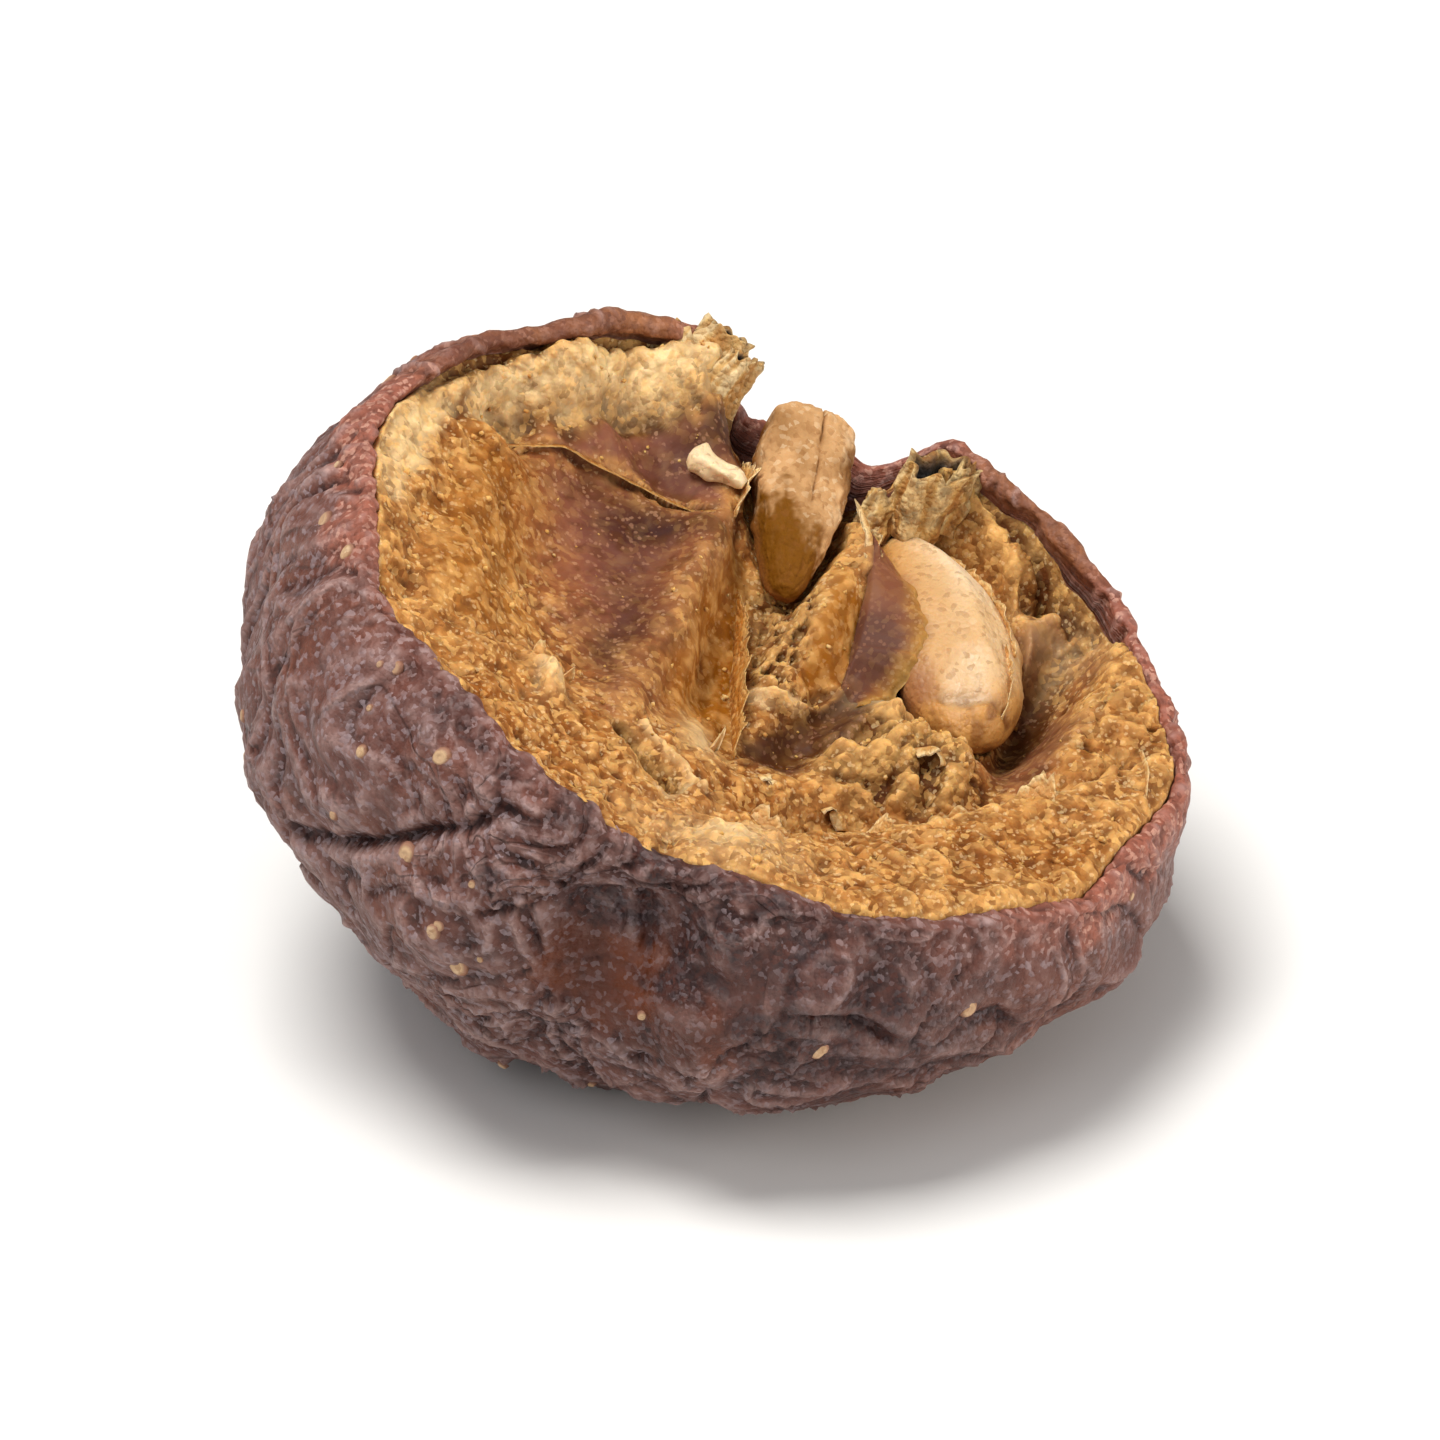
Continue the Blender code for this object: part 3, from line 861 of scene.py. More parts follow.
@dataclass(frozen=True)
class SkinFinish(Finish):
    """Dried skin: red-brown with a grey-mauve bloom, painted highlights on its ridges, painted shade in its
    creases and a redder rim.
    """

    name: str = "dried skin"
    roughness: float = 0.55
    gloss: float = 0.28
    bump: float = 1.0
    bump_height: float = 0.15
    ground: Colour = (0.105, 0.03, 0.019)
    brown: Colour = (0.155, 0.05, 0.027)
    # Colour of the bloom, which on the lit left wall also stands for painted sheen.
    bloom: Colour = (0.17, 0.076, 0.06)
    grey: Colour = (0.3, 0.225, 0.235)
    # Colour of painted shade in creases and hollows.
    crease: Colour = (0.024, 0.007, 0.006)
    # Colour of painted highlights on ridges and crests.
    crest: Colour = (0.38, 0.25, 0.225)
    rim: Colour = (0.32, 0.1, 0.06)
    rim_pale: Colour = (0.62, 0.34, 0.25)
    curl: Colour = (0.3, 0.115, 0.045)
    # Colour of the real stain and of the painted shade on the front right.
    stain: Colour = (0.026, 0.018, 0.021)
    patch: Colour = (0.13, 0.028, 0.005)

    def dress(self, net: Net, effects: Effects) -> dict[str, Socket]:
        """Colours by fold, wrinkle, bloom, rim and stain, with painted sheen on the lit left side, painted
        highlights on ridges and crests, and painted shade in creases, hollows and on the front.
        """
        broad = net.group(effects.mottle, Size=4.0, Low=0.38, High=0.62)["Patches"]
        fine = net.group(effects.mottle, Size=1.1, Low=0.4, High=0.62, Seed=3.0)["Patches"]
        grain = net.group(effects.grain, Size=0.14)
        coarse = net.group(effects.grain, Size=0.3)
        bloom_and_sheen_mask, rim, patch, curl = (net.mask(name) for name in ("bloom", "rim", "patch", "curl"))
        flow = {name: net.mask(key) for name, key in zip(("Across", "Along", "Depth"), FLOWS)}
        wrinkle = net.group(effects.wrinkles, **flow, Lengthwise=net.mask("lengthwise"), Size=1.5)
        calm = net.times(net.fade(patch, 1.0, 0.2), net.fade(rim, 1.0, 0.15))
        # Bloom haze: real bloom, and painted sheen on the lit left wall.
        haze = net.times(net.fade(fine, 0.2, 0.8), bloom_and_sheen_mask)
        # Real stain together with painted shade on the front right.
        stain = net.times(net.mask("stain"), net.fade(fine, 0.9, 0.45))
        colour = net.blend(haze, net.blend(broad, self.ground, self.brown), self.bloom)
        colour = net.blend(patch, colour, self.patch)
        colour = net.blend(stain, net.blend(rim, colour, self.rim), self.stain)
        colour = net.blend(curl, colour, net.blend(broad, self.curl, self.brown))
        # Painted highlight on the wrinkles' ridges.
        ridges = net.times(wrinkle["Ridges"], net.fade(bloom_and_sheen_mask, 0.1, 0.3), net.fade(stain, 1.0, 0.4), calm)
        colour = net.blend(ridges, colour, self.crest)
        # Painted shade in the wrinkles' creases.
        colour = net.blend(net.times(wrinkle["Creases"], calm, 0.45), colour, self.crease)
        # Painted shade in hollows and painted highlight on crests.
        crest = net.times(net.mask("crest"), net.fade(bloom_and_sheen_mask, 0.3, 0.75), net.fade(stain, 1.0, 0.35))
        shade_and_highlight_inputs = {"Colour": colour, "Dark": self.crease, "Light": self.crest}
        colour = net.group(effects.age, **shade_and_highlight_inputs, Hollow=net.mask("hollow"), Crest=crest)["Colour"]
        speck = net.times(net.band(grain["Shade"], 0.62, 1.0), net.fade(bloom_and_sheen_mask, 0.25, 0.6))
        speck = net.times(speck, net.fade(curl, 1.0, 0.3), net.fade(stain, 1.0, 0.4))
        colour = net.blend(speck, colour, net.blend(rim, self.grey, self.rim_pale))
        # Painted shade in the gaps between granules, with randomly darker granules.
        pits = net.times(coarse["Pits"], 0.35)
        dark = net.math("MAXIMUM", net.band(grain["Shade"], 0.35, 0.0, 0.0, 0.5), pits)
        height = net.math("ADD", net.times(coarse["Height"], 0.4), net.times(grain["Height"], 0.25))
        return {
            "Base Color": net.blend(dark, colour, self.ground),
            "Roughness": net.fade(haze, 0.48, 0.65),
            "Height": net.math("ADD", net.times(wrinkle["Height"], calm, 0.55), height),
        }


@dataclass(frozen=True)
class FleshFinish(Finish):
    """Dried flesh: granular amber with crests lightened by painted highlight and real dryness, painted shade
    in its hollows, and brown films where stones lay.
    """

    name: str = "dried flesh"
    roughness: float = 0.66
    gloss: float = 0.15
    glow: float = 0.3
    glow_depth: float = 0.5
    bump: float = 1.0
    bump_height: float = 0.1
    amber: Colour = (0.31, 0.1, 0.012)
    ochre: Colour = (0.43, 0.18, 0.042)
    deep: Colour = (0.13, 0.032, 0.002)
    # Colour of painted highlights on crests, and of real lighter granules.
    light: Colour = (0.74, 0.42, 0.135)
    # Colour of real pale dry flesh, and of the painted glints on it.
    cream: Colour = (0.84, 0.61, 0.31)
    film_rose: Colour = (0.2, 0.067, 0.038)
    # Colour of the painted glints on films.
    film_light: Colour = (0.42, 0.21, 0.12)
    film_purple: Colour = (0.04, 0.01, 0.007)
    clear: Colour = (0.27, 0.085, 0.001)
    olive: Colour = (0.26, 0.14, 0.038)
    # Colour of painted shade in hollows, gaps and shadows.
    hollow: Colour = (0.075, 0.02, 0.002)

    def dress(self, net: Net, effects: Effects) -> dict[str, Socket]:
        """Colours by film and grain, with painted shade by depth, painted highlights on crests and painted
        glints.
        """
        broad = net.group(effects.mottle, Size=3.2, Low=0.38, High=0.62, Seed=1.0)["Patches"]
        fine = net.group(effects.mottle, Size=0.7, Low=0.4, High=0.62, Seed=5.0)["Patches"]
        coarse, grain, tiny = (net.group(effects.grain, Size=size) for size in (0.42, 0.19, 0.11))
        film, pale, clear = (net.mask(name) for name in ("film", "pale", "amber"))
        granular = net.times(net.fade(film, 1.0, 0.12), net.fade(clear, 1.0, 0.4))
        colour = net.blend(net.times(fine, 0.55), net.blend(broad, self.amber, self.ochre), self.deep)
        colour = net.blend(clear, net.blend(net.mask("olive"), colour, self.olive), self.clear)
        colour = net.blend(film, colour, net.blend(net.mask("purple"), self.film_rose, self.film_purple))
        # Painted highlight on crests, partly real dry tips, with painted shade in hollows.
        crest = net.times(net.mask("crest"), net.fade(film, 0.8, 0.15))
        shade_and_highlight_inputs = {"Colour": colour, "Dark": self.hollow, "Light": self.light}
        colour = net.group(effects.age, **shade_and_highlight_inputs, Hollow=net.mask("hollow"), Crest=crest)["Colour"]
        colour = net.blend(pale, colour, self.cream)
        large = net.band(coarse["Shade"], 0.7, 1.0, 0.0, 0.4)
        lights = net.math("MAXIMUM", net.band(grain["Shade"], 0.62, 0.95, 0.0, 0.55), large)
        colour = net.blend(net.times(lights, granular), colour, self.light)
        # Painted shade in the gaps between granules, with randomly darker granules.
        pits = net.times(coarse["Pits"], 0.4)
        darks = net.math("MAXIMUM", net.band(grain["Shade"], 0.35, 0.0, 0.0, 0.6), pits)
        darks = net.times(darks, net.fade(pale, 1.0, 0.8), granular)
        colour = net.blend(darks, colour, net.blend(pale, self.deep, self.olive))
        # Fine bright specks: painted glints.
        painted_glints = net.times(net.band(tiny["Shade"], 0.8, 0.95), net.band(tiny["Pits"], 0.7, 0.1))
        painted_glints = net.times(painted_glints, net.fade(clear, 0.35, 0.12))
        height = net.math("ADD", net.times(coarse["Height"], 0.6), net.times(grain["Height"], 0.4))
        return {
            "Base Color": net.blend(painted_glints, colour, net.blend(film, self.cream, self.film_light)),
            "Roughness": net.fade(film, 0.68, 0.55),
            "Height": net.times(height, granular),
        }


@dataclass(frozen=True)
class StoneFinish(Finish):
    """A stone's dry shell: light ground, darker streaks, a brown film where it is covered, painted shade in
    its hollows and painted highlights on its crests.
    """

    name: str = "pale stone"
    roughness: float = 0.45
    gloss: float = 0.3
    glow: float = 0.2
    glow_depth: float = 0.8
    bump: float = 0.6
    bump_height: float = 0.06
    ground: Colour = (0.62, 0.38, 0.165)
    warm: Colour = (0.5, 0.24, 0.06)
    # Colour of painted shade in hollows, and of random dark grains.
    dark: Colour = (0.2, 0.07, 0.012)
    # Colour of painted highlights on crests, and of real light specks.
    light: Colour = (0.74, 0.58, 0.38)
    film: Colour = (0.22, 0.075, 0.045)

    def dress(self, net: Net, effects: Effects) -> dict[str, Socket]:
        """Colours by patch, streak and film, with painted shade in hollows and painted highlights on crests.
        """
        broad = net.group(effects.mottle, Size=1.6, Low=0.42, High=0.66, Seed=8.0)["Patches"]
        grain = net.group(effects.grain, Size=0.16)
        warm = net.mask("warm")
        colour = net.blend(net.times(broad, 0.6), self.ground, self.warm)
        shade_and_highlight_inputs = {"Colour": net.blend(warm, colour, self.warm), "Dark": self.dark, "Light": self.light}
        colour = net.group(effects.age, **shade_and_highlight_inputs, Hollow=net.mask("hollow"), Crest=net.mask("crest"))["Colour"]
        speck = net.times(net.band(grain["Shade"], 0.75, 1.0), net.fade(warm, 0.3, 0.0))
        colour = net.blend(speck, colour, self.light)
        colour = net.blend(net.band(grain["Shade"], 0.25, 0.0, 0.0, 0.35), colour, self.dark)
        return {
            "Base Color": net.blend(net.mask("film"), colour, self.film),
            "Roughness": net.fade(net.mask("gloss"), self.roughness, 0.3),
            "Height": grain["Height"],
        }


# The berry


@dataclass(frozen=True)
class SkinRelief:
    """Wrinkles of the dried skin, finer than its folds, in patches that run two ways."""

    folded: float = 0.22
    pinched: float = 0.12
    grainy: float = 0.045
    vein: float = 0.16
    crack: float = 0.2
    wander_size: float = 3.0
    wander: float = 1.9
    pole_depth: float = 4.2
    girth: float = 8.5
    least_girth: float = 6.5
    creases: tuple[Crease, ...] = (
        Crease((-9.4, -9.5, -7.6), (-7.0, -10.9, -5.2), 0.16, 0.45),
        Crease((-7.4, -10.8, -5.6), (-5.3, -11.5, -3.2), 0.16, 0.5),
        Crease((-5.7, -11.4, -3.6), (-3.6, -11.9, -0.8), 0.16, 0.45),
        Crease((5.2, -11.6, -2.6), (8.4, -10.0, -2.9), 0.2, 0.6),
        Crease((0.2, -11.4, -1.6), (1.4, -11.8, -3.6), 0.3, 0.3),
    )
    patch_centre: Point = (1.3, -12.0, -4.5)
    patch_size: Point = (3.0, 1.6, 1.75)

    def patch(self, spots: Array) -> Array:
        """1 on the smooth reddish patch beside the stem pit."""
        reach = np.linalg.norm((spots - np.array(self.patch_centre)) / np.array(self.patch_size), axis=-1)
        return smooth(1.15, 0.8, reach + 0.25 * rough(spots / 1.2, (3, 1, 0)))

    def meridians(self, spots: Array) -> Array:
        """Coordinates that make patterns run from the stem to the calyx."""
        depth = spots[..., 2] + self.pole_depth
        girth = np.maximum(np.hypot(spots[..., 0], depth), self.least_girth)
        scale = self.girth / girth
        return spots_of(spots[..., 0] * scale, spots[..., 1], depth * scale)

    def runs(self, spots: Array) -> tuple[Array, Array]:
        """How the wrinkles run: bent coordinates, and 1 where they follow the meridians."""
        bent = wandered(self.meridians(spots), self.wander_size, self.wander)
        return bent, smooth(-0.1, 0.12, rough(spots / 4.5, (3, 1, 8)))

    @staticmethod
    def _on_ball(spots: Array) -> Array:
        """Places told apart by their direction from the body's centre alone."""
        return 13.0 * unit(spots + np.array((0.0, 0.0, FACE.above_centre)))

    @staticmethod
    def _wave(bent: Array, lengthwise: Array, size: float, shift: float) -> Array:
        """Noise drawn out along the meridians or down the wall."""
        far = rough(bent / (size * np.array((1.0, 2.6, 1.0))), (shift, 0.0, 5.0))
        down = rough(bent / (size * np.array((2.3, 0.95, 2.3))), (0.0, shift, 2.0))
        return mix(down, far, lengthwise)

    def height(self, spots: Array) -> Array:
        """Height of the wrinkles at face coordinates, about 0 on the whole."""
        bent, lengthwise = self.runs(spots)
        folded = 1.6 * np.sqrt(np.abs(self._wave(bent, lengthwise, 2.0, 2.0))) - 0.75
        pinched = 0.45 - 1.5 * np.sqrt(np.abs(self._wave(bent, lengthwise, 1.2, 5.0)))
        grainy = 2.0 * np.abs(rough(spots / 0.4, (1, 8, 2))) - 0.4
        vein = ridge(self._wave(bent, lengthwise, 1.5, 8.0), 0.085)
        vein = vein * smooth(-0.25, 0.1, rough(spots / 2.4, (0, 4, 9)))
        crack = ridge(self._wave(bent, lengthwise, 2.6, 11.0), 0.045)
        crack = crack * smooth(-0.05, 0.25, rough(spots / 3.3, (6, 4, 1)))
        calm = 1.0 - 0.75 * self.patch(spots)
        height = self.folded * folded + self.pinched * pinched + self.grainy * grainy
        loose = self._on_ball(wandered(spots, 1.5, 0.3))
        lines = 0.0
        for crease in self.creases:
            start, end = (tuple(self._on_ball(np.array(place))) for place in (crease.start, crease.end))
            lines = lines + Crease(start, end, crease.width, crease.depth).depth_at(loose)
        return calm * (height + self.vein * vein - self.crack * crack) - lines


@dataclass
class BerrySkin(Piece):
    """The outer skin: a thin shell from its rolled edge down to the settled belly."""

    angles: int = 640
    wall_rings: int = 128
    lip_rings: int = 10
    inner_rings: int = 20
    crowding: float = 1.4
    thickness: float = 0.75
    lip_width: float = 0.4
    front_width: float = 0.3
    lip_height: float = 0.1
    curl_width: float = 0.58
    curl_rise: float = 0.27
    curl_uneven: float = 0.35
    lip_bumps: float = 0.13
    relief: SkinRelief = SkinRelief()

    name = "berry_skin"
    finish = SkinFinish()
    nodes = (Node.BERRY,)

    def _lip(self, angle: Array, turn: Array) -> tuple[Array, Array]:
        """Follows the rolled edge from the outside over to the inside.

        Args:
            angle: Directions round the rim.
            turn: Shares of the way over the lip.

        Returns:
            World points of the lip, and the outward directions there.
        """
        curl = RIM.curl(angle)
        around = circle(angle)
        uneven = 1.0 + self.curl_uneven * rough(around * 8.0, (6, 2, 0)) * curl
        front = smooth(-0.2, -0.8, np.sin(angle))
        width = mix(self.lip_width + self.front_width * front, self.curl_width, curl) * uneven
        rise = mix(self.lip_height, self.curl_rise, curl) * uneven
        theta = turn * math.pi * mix(1.0, 1.35, curl)
        side = around @ FACE.turn.T
        out = (RIM.radius_at(angle) - width / 2.0 * (1.0 - np.cos(theta)))[..., None] * side
        up = (FACE.above_centre + RIM.height_at(angle) + rise * np.sin(theta))[..., None]
        facing = np.cos(theta)[..., None] * side + np.sin(theta)[..., None] * FACE.normal
        return FACE.body_centre + out + up * FACE.normal, unit(facing)

    @staticmethod
    def _blot(spots: Array, middle: Point, size: Point, softness: Spot, ragged: Array) -> Array:
        """A dark blot of the skin.

        Args:
            spots: Face coordinates.
            middle: The blot's middle.
            size: Its half sizes.
            softness: How far out it fades to 0, and how far out it is still whole.
            ragged: Added to the distance from its middle, so that its border is uneven.

        Returns:
            1 well inside the blot, 0 outside it.
        """
        away = np.linalg.norm((spots - np.array(middle)) / np.array(size), axis=-1)
        return smooth(*softness, away + ragged)

    def _masks(self, spots: Array, relief: Array, drop: Array) -> Masks:
        """Where the skin is creased, stained, smooth or cut, and where painted shade, sheen and highlights
        lie on it.

        Args:
            spots: Face coordinates.
            relief: Height of the folds and wrinkles there.
            drop: Shares of the way down the wall.

        Returns:
            The masks by name.
        """
        across, along = spots[..., 0], spots[..., 1]
        near = blurred(relief, 3, True) - relief
        wide = blurred(relief, 9, True) - relief
        front = smooth(-7.0, -11.0, along) * smooth(-5.0, 2.0, across)
        # Painted shade: darker in the hollows and creases of the relief.
        hollow = whole(near / 0.09) * 0.75 + smooth(0.02, 0.35, wide) * 0.6
        # Painted shade on the front wall, which faces away from the light.
        hollow = hollow + 0.62 * front * smooth(0.4, -0.3, rough(spots / 1.7, (5, 5, 1)))
        ragged = 0.8 * rough(spots / 1.1) + 0.5 * rough(spots / 0.4)
        stain = self._blot(spots, (3.4, -11.6, -2.2), (5.2, 3.4, 2.2), (1.3, 0.6), ragged)
        ragged = 0.6 * rough(spots / 1.6, (2, 9, 1)) + 0.3 * rough(spots / 0.5)
        # Painted shade on the front right, which faces away from the light.
        shade = 0.75 * self._blot(spots, (7.7, -9.3, -3.4), (4.2, 3.4, 2.6), (1.25, 0.6), ragged)
        # Darker along the rim at the front.
        edge = smooth(0.09, 0.02, drop) * smooth(-8.0, -10.5, along)
        edge = edge * smooth(0.35, -0.15, rough(spots / 1.1, (9, 2, 1)))
        bent, lengthwise = self.relief.runs(spots)
        # Greyer towards the left: real bloom, and painted sheen of the lit left wall.
        left = smooth(4.0, -4.0, across + 0.8 * spots[..., 2] + 1.5 * rough(spots / 3.0))
        patch = self.relief.patch(spots)
        rim = smooth(0.06, 0.015, drop + 0.035 * rough(spots / 0.9) + 0.02 * rough(spots / 0.3))
        return {
            # hollow: painted shade.
            "hollow": whole(hollow),
            # crest: painted highlight on raised wrinkles.
            "crest": whole(-near / 0.09 - 0.15),
            # A real stain together with painted shade on the front right.
            "stain": np.maximum.reduce([stain, 0.75 * edge, shade]) * (1.0 - patch),
            "patch": patch,
            "rim": rim * mix(1.0, 0.2, smooth(-4.0, -9.0, along + 1.5 * rough(spots / 1.5))),
            "curl": RIM.curl(np.arctan2(along, across)) * smooth(0.06, 0.0, drop),
            # More bloom to the left and at the rim: real bloom, and painted sheen on the lit left wall.
            "bloom": mix(0.3, 1.0, np.maximum(left, smooth(0.12, 0.03, drop))) * (1.0 - 0.8 * patch),
            "lengthwise": lengthwise,
        } | {name: bent[..., k] for k, name in enumerate(FLOWS)}

    def at(self, angle: Array, drop: Array) -> tuple[Array, Array]:
        """World points on the outer skin, and the outward directions there."""
        wall, facing = BODY.wall(angle, drop)
        relief = self.relief.height(FACE.face(wall)) * mix(0.55, 1.0, smooth(0.0, 0.02, drop))
        return wall + relief[..., None] * facing, facing

    def fill(self, sheet: Sheet) -> None:
        """Adds the lip and the wall, and the shell's inner side."""
        angle = full_turn(self.angles)
        turn = np.linspace(1.0, 0.0, self.lip_rings + 1)[:-1, None]
        drop = (np.arange(self.wall_rings) / self.wall_rings)[:, None] ** self.crowding
        lip = self._lip(angle[None, :] + 0.0 * turn, turn)
        wall = BODY.wall(angle[None, :] + 0.0 * drop, drop + 0.0 * angle[None, :])
        plain, facing = (np.concatenate(pair) for pair in zip(lip, wall))
        depth = np.concatenate([0.0 * turn, drop]) + 0.0 * angle[None, :]
        spots = FACE.face(plain)
        relief = self.relief.height(spots) * mix(0.55, 1.0, smooth(0.0, 0.02, depth))
        bumps = rough(spots / 0.62, (3, 3, 3)) + 0.6 * rough(spots / 0.26, (5, 3, 1))
        bumps = bumps * smooth(0.05, 0.0, depth) * (1.0 - 0.65 * RIM.curl(angle))
        relief = relief + self.lip_bumps * bumps
        outer = plain + relief[..., None] * facing
        outer[..., 2] = np.maximum(outer[..., 2], 0.0)
        shade = relief + 0.6 * BODY.folds(spots) * smooth(0.0, 0.1, depth)
        rows = sheet.add(outer, self._masks(spots, shade, depth))
        sheet.grid(rows)
        sheet.cap(rows[-1], outer[-1].mean(0))
        inner_drop = np.linspace(0.03, 0.97, self.inner_rings)
        sheet.line(rows[0], angle[::2], inner_drop, self.thickness, flip=True)


@dataclass(frozen=True)
class Patch:
    """An area of the cut face, by the corners of its outline."""

    corners: tuple[Spot, ...]

    def depth(self, u: Array, v: Array) -> Array:
        """Distance from the outline: above 0 inside it and below 0 outside."""
        outline = self.corners + self.corners[:1]
        gap = Path(outline).nearest(u, v)[0]
        inside = np.zeros(np.shape(u), dtype=bool)
        for (u0, v0), (u1, v1) in zip(outline, outline[1:]):
            crossed = (v0 > v) != (v1 > v)
            inside ^= crossed & (u < u0 + (v - v0) * (u1 - u0) / (v1 - v0 + 1e-12))
        return np.where(inside, gap, -gap)

    def mask(self, u: Array, v: Array, softness: float = 0.4) -> Array:
        """1 inside the outline and 0 outside, with a soft border."""
        return smooth(-softness, softness, self.depth(u, v))


MEMBRANE = Path(((-8.9, 3.75), (-7.3, 4.9), (-5.9, 5.35), (-4.4, 5.7), (-3.3, 5.97), (-2.5, 6.15)))
SLIT = Path(((-2.2, -5.6), (-0.2, -6.85)))
SLIT_RIDGE = Path(((-1.7, -4.95), (0.5, -6.55)))
LEDGE_LEFT = ((-0.8, -7.4), (0.3, -6.6), (1.1, -5.6), (2.5, -5.5), (3.6, -5.9), (5.0, -4.1))
LEDGE = Path((*LEDGE_LEFT, (5.9, -4.2), (6.9, -2.4), (8.4, -1.1), (9.2, 0.4), (10.6, 2.0)))
DISH_LEFT = ((-7.8, 4.0), (-6.4, 1.1), (-5.4, -0.4), (-4.5, -1.9), (-3.6, -3.1), (-2.7, -4.8))
DISH_RIGHT = ((-2.25, -4.0), (-2.3, -1.0), (-2.35, 2.0), (-2.2, 4.6), (-2.45, 6.1))
DISH = Patch((*DISH_LEFT, *DISH_RIGHT, (-4.4, 5.75), (-5.9, 5.4), (-7.3, 4.9)))
STRIP_LOW = ((-8.0, 4.5), (-7.3, 4.9), (-5.9, 5.4), (-4.4, 5.75), (-2.45, 6.1))
STRIP = Patch((*STRIP_LOW, (-2.5, 8.0), (-3.3, 9.6), (-4.4, 8.4), (-5.9, 7.7), (-7.2, 6.0)))
SADDLE_LEFT = ((0.7, 10.6), (0.7, 8.5), (1.5, 6.6), (2.2, 5.3), (2.9, 4.2), (2.9, 3.2), (2.3, 1.6))
SADDLE_FOOT = ((1.8, 0.5), (0.9, -0.8), (1.5, -2.3), (2.6, -1.6), (3.0, -0.2), (3.6, 1.6), (4.6, 3.4))
SADDLE = Patch((*SADDLE_LEFT, *SADDLE_FOOT, (4.6, 6.0), (3.8, 8.0), (2.4, 9.4), (1.4, 10.6)))
VALLEY_LEFT = ((-2.2, 5.6), (-2.0, 1.0), (-2.0, -2.3), (-1.5, -3.6))
VALLEY = Patch((*VALLEY_LEFT, (-0.2, -3.4), (0.7, -2.4), (0.3, 0.6), (-0.3, 3.4), (-0.9, 5.2)))
COLUMN_TOP = ((0.7, 6.2), (1.5, 5.4), (2.2, 4.9), (2.7, 3.8))
COLUMN = Patch((*COLUMN_TOP, (2.4, 2.7), (1.7, 2.1), (1.2, 2.9), (0.95, 4.6)))
PORES = Patch(((-0.3, 4.9), (0.4, 5.0), (1.0, 4.2), (1.2, 2.6), (1.1, 1.3), (0.3, 1.3), (-0.05, 3.2)))
COLUMN_LEDGE = Path(((0.1, 1.0), (0.8, 0.75), (1.6, 0.9), (2.3, 1.6), (2.7, 2.6)))
LUMPS_TOP = ((2.6, 0.3), (3.5, 1.6), (4.8, 2.6), (6.2, 2.2))
LUMPS = Patch((*LUMPS_TOP, (6.9, 0.2), (6.2, -0.9), (4.8, -1.6), (3.3, -1.5)))
SWELL_INNER = ((-11.2, 3.2), (-9.7, 3.6), (-8.6, 5.2), (-7.3, 6.6), (-6.0, 8.1), (-4.8, 8.8))
SWELL = Patch((*SWELL_INNER, (-3.4, 10.2), (-3.6, 11.4), (-6.0, 11.0), (-8.6, 9.2), (-10.6, 6.4)))
SWELL_EDGE = Path(((-11.0, 1.9), (-9.8, 3.2), (-8.5, 4.8), (-7.2, 6.1), (-5.9, 7.6), (-4.7, 8.3)))
RIGHT_GROOVE = Path(((6.9, 7.3), (7.7, 5.4), (8.1, 3.6), (7.7, 1.6)))
RIGHT_BLOCK = Patch(((6.5, 9.6), (7.2, 7.0), (8.8, 4.5), (9.0, 2.0), (11.5, 2.0), (11.0, 6.0), (8.5, 9.5)))


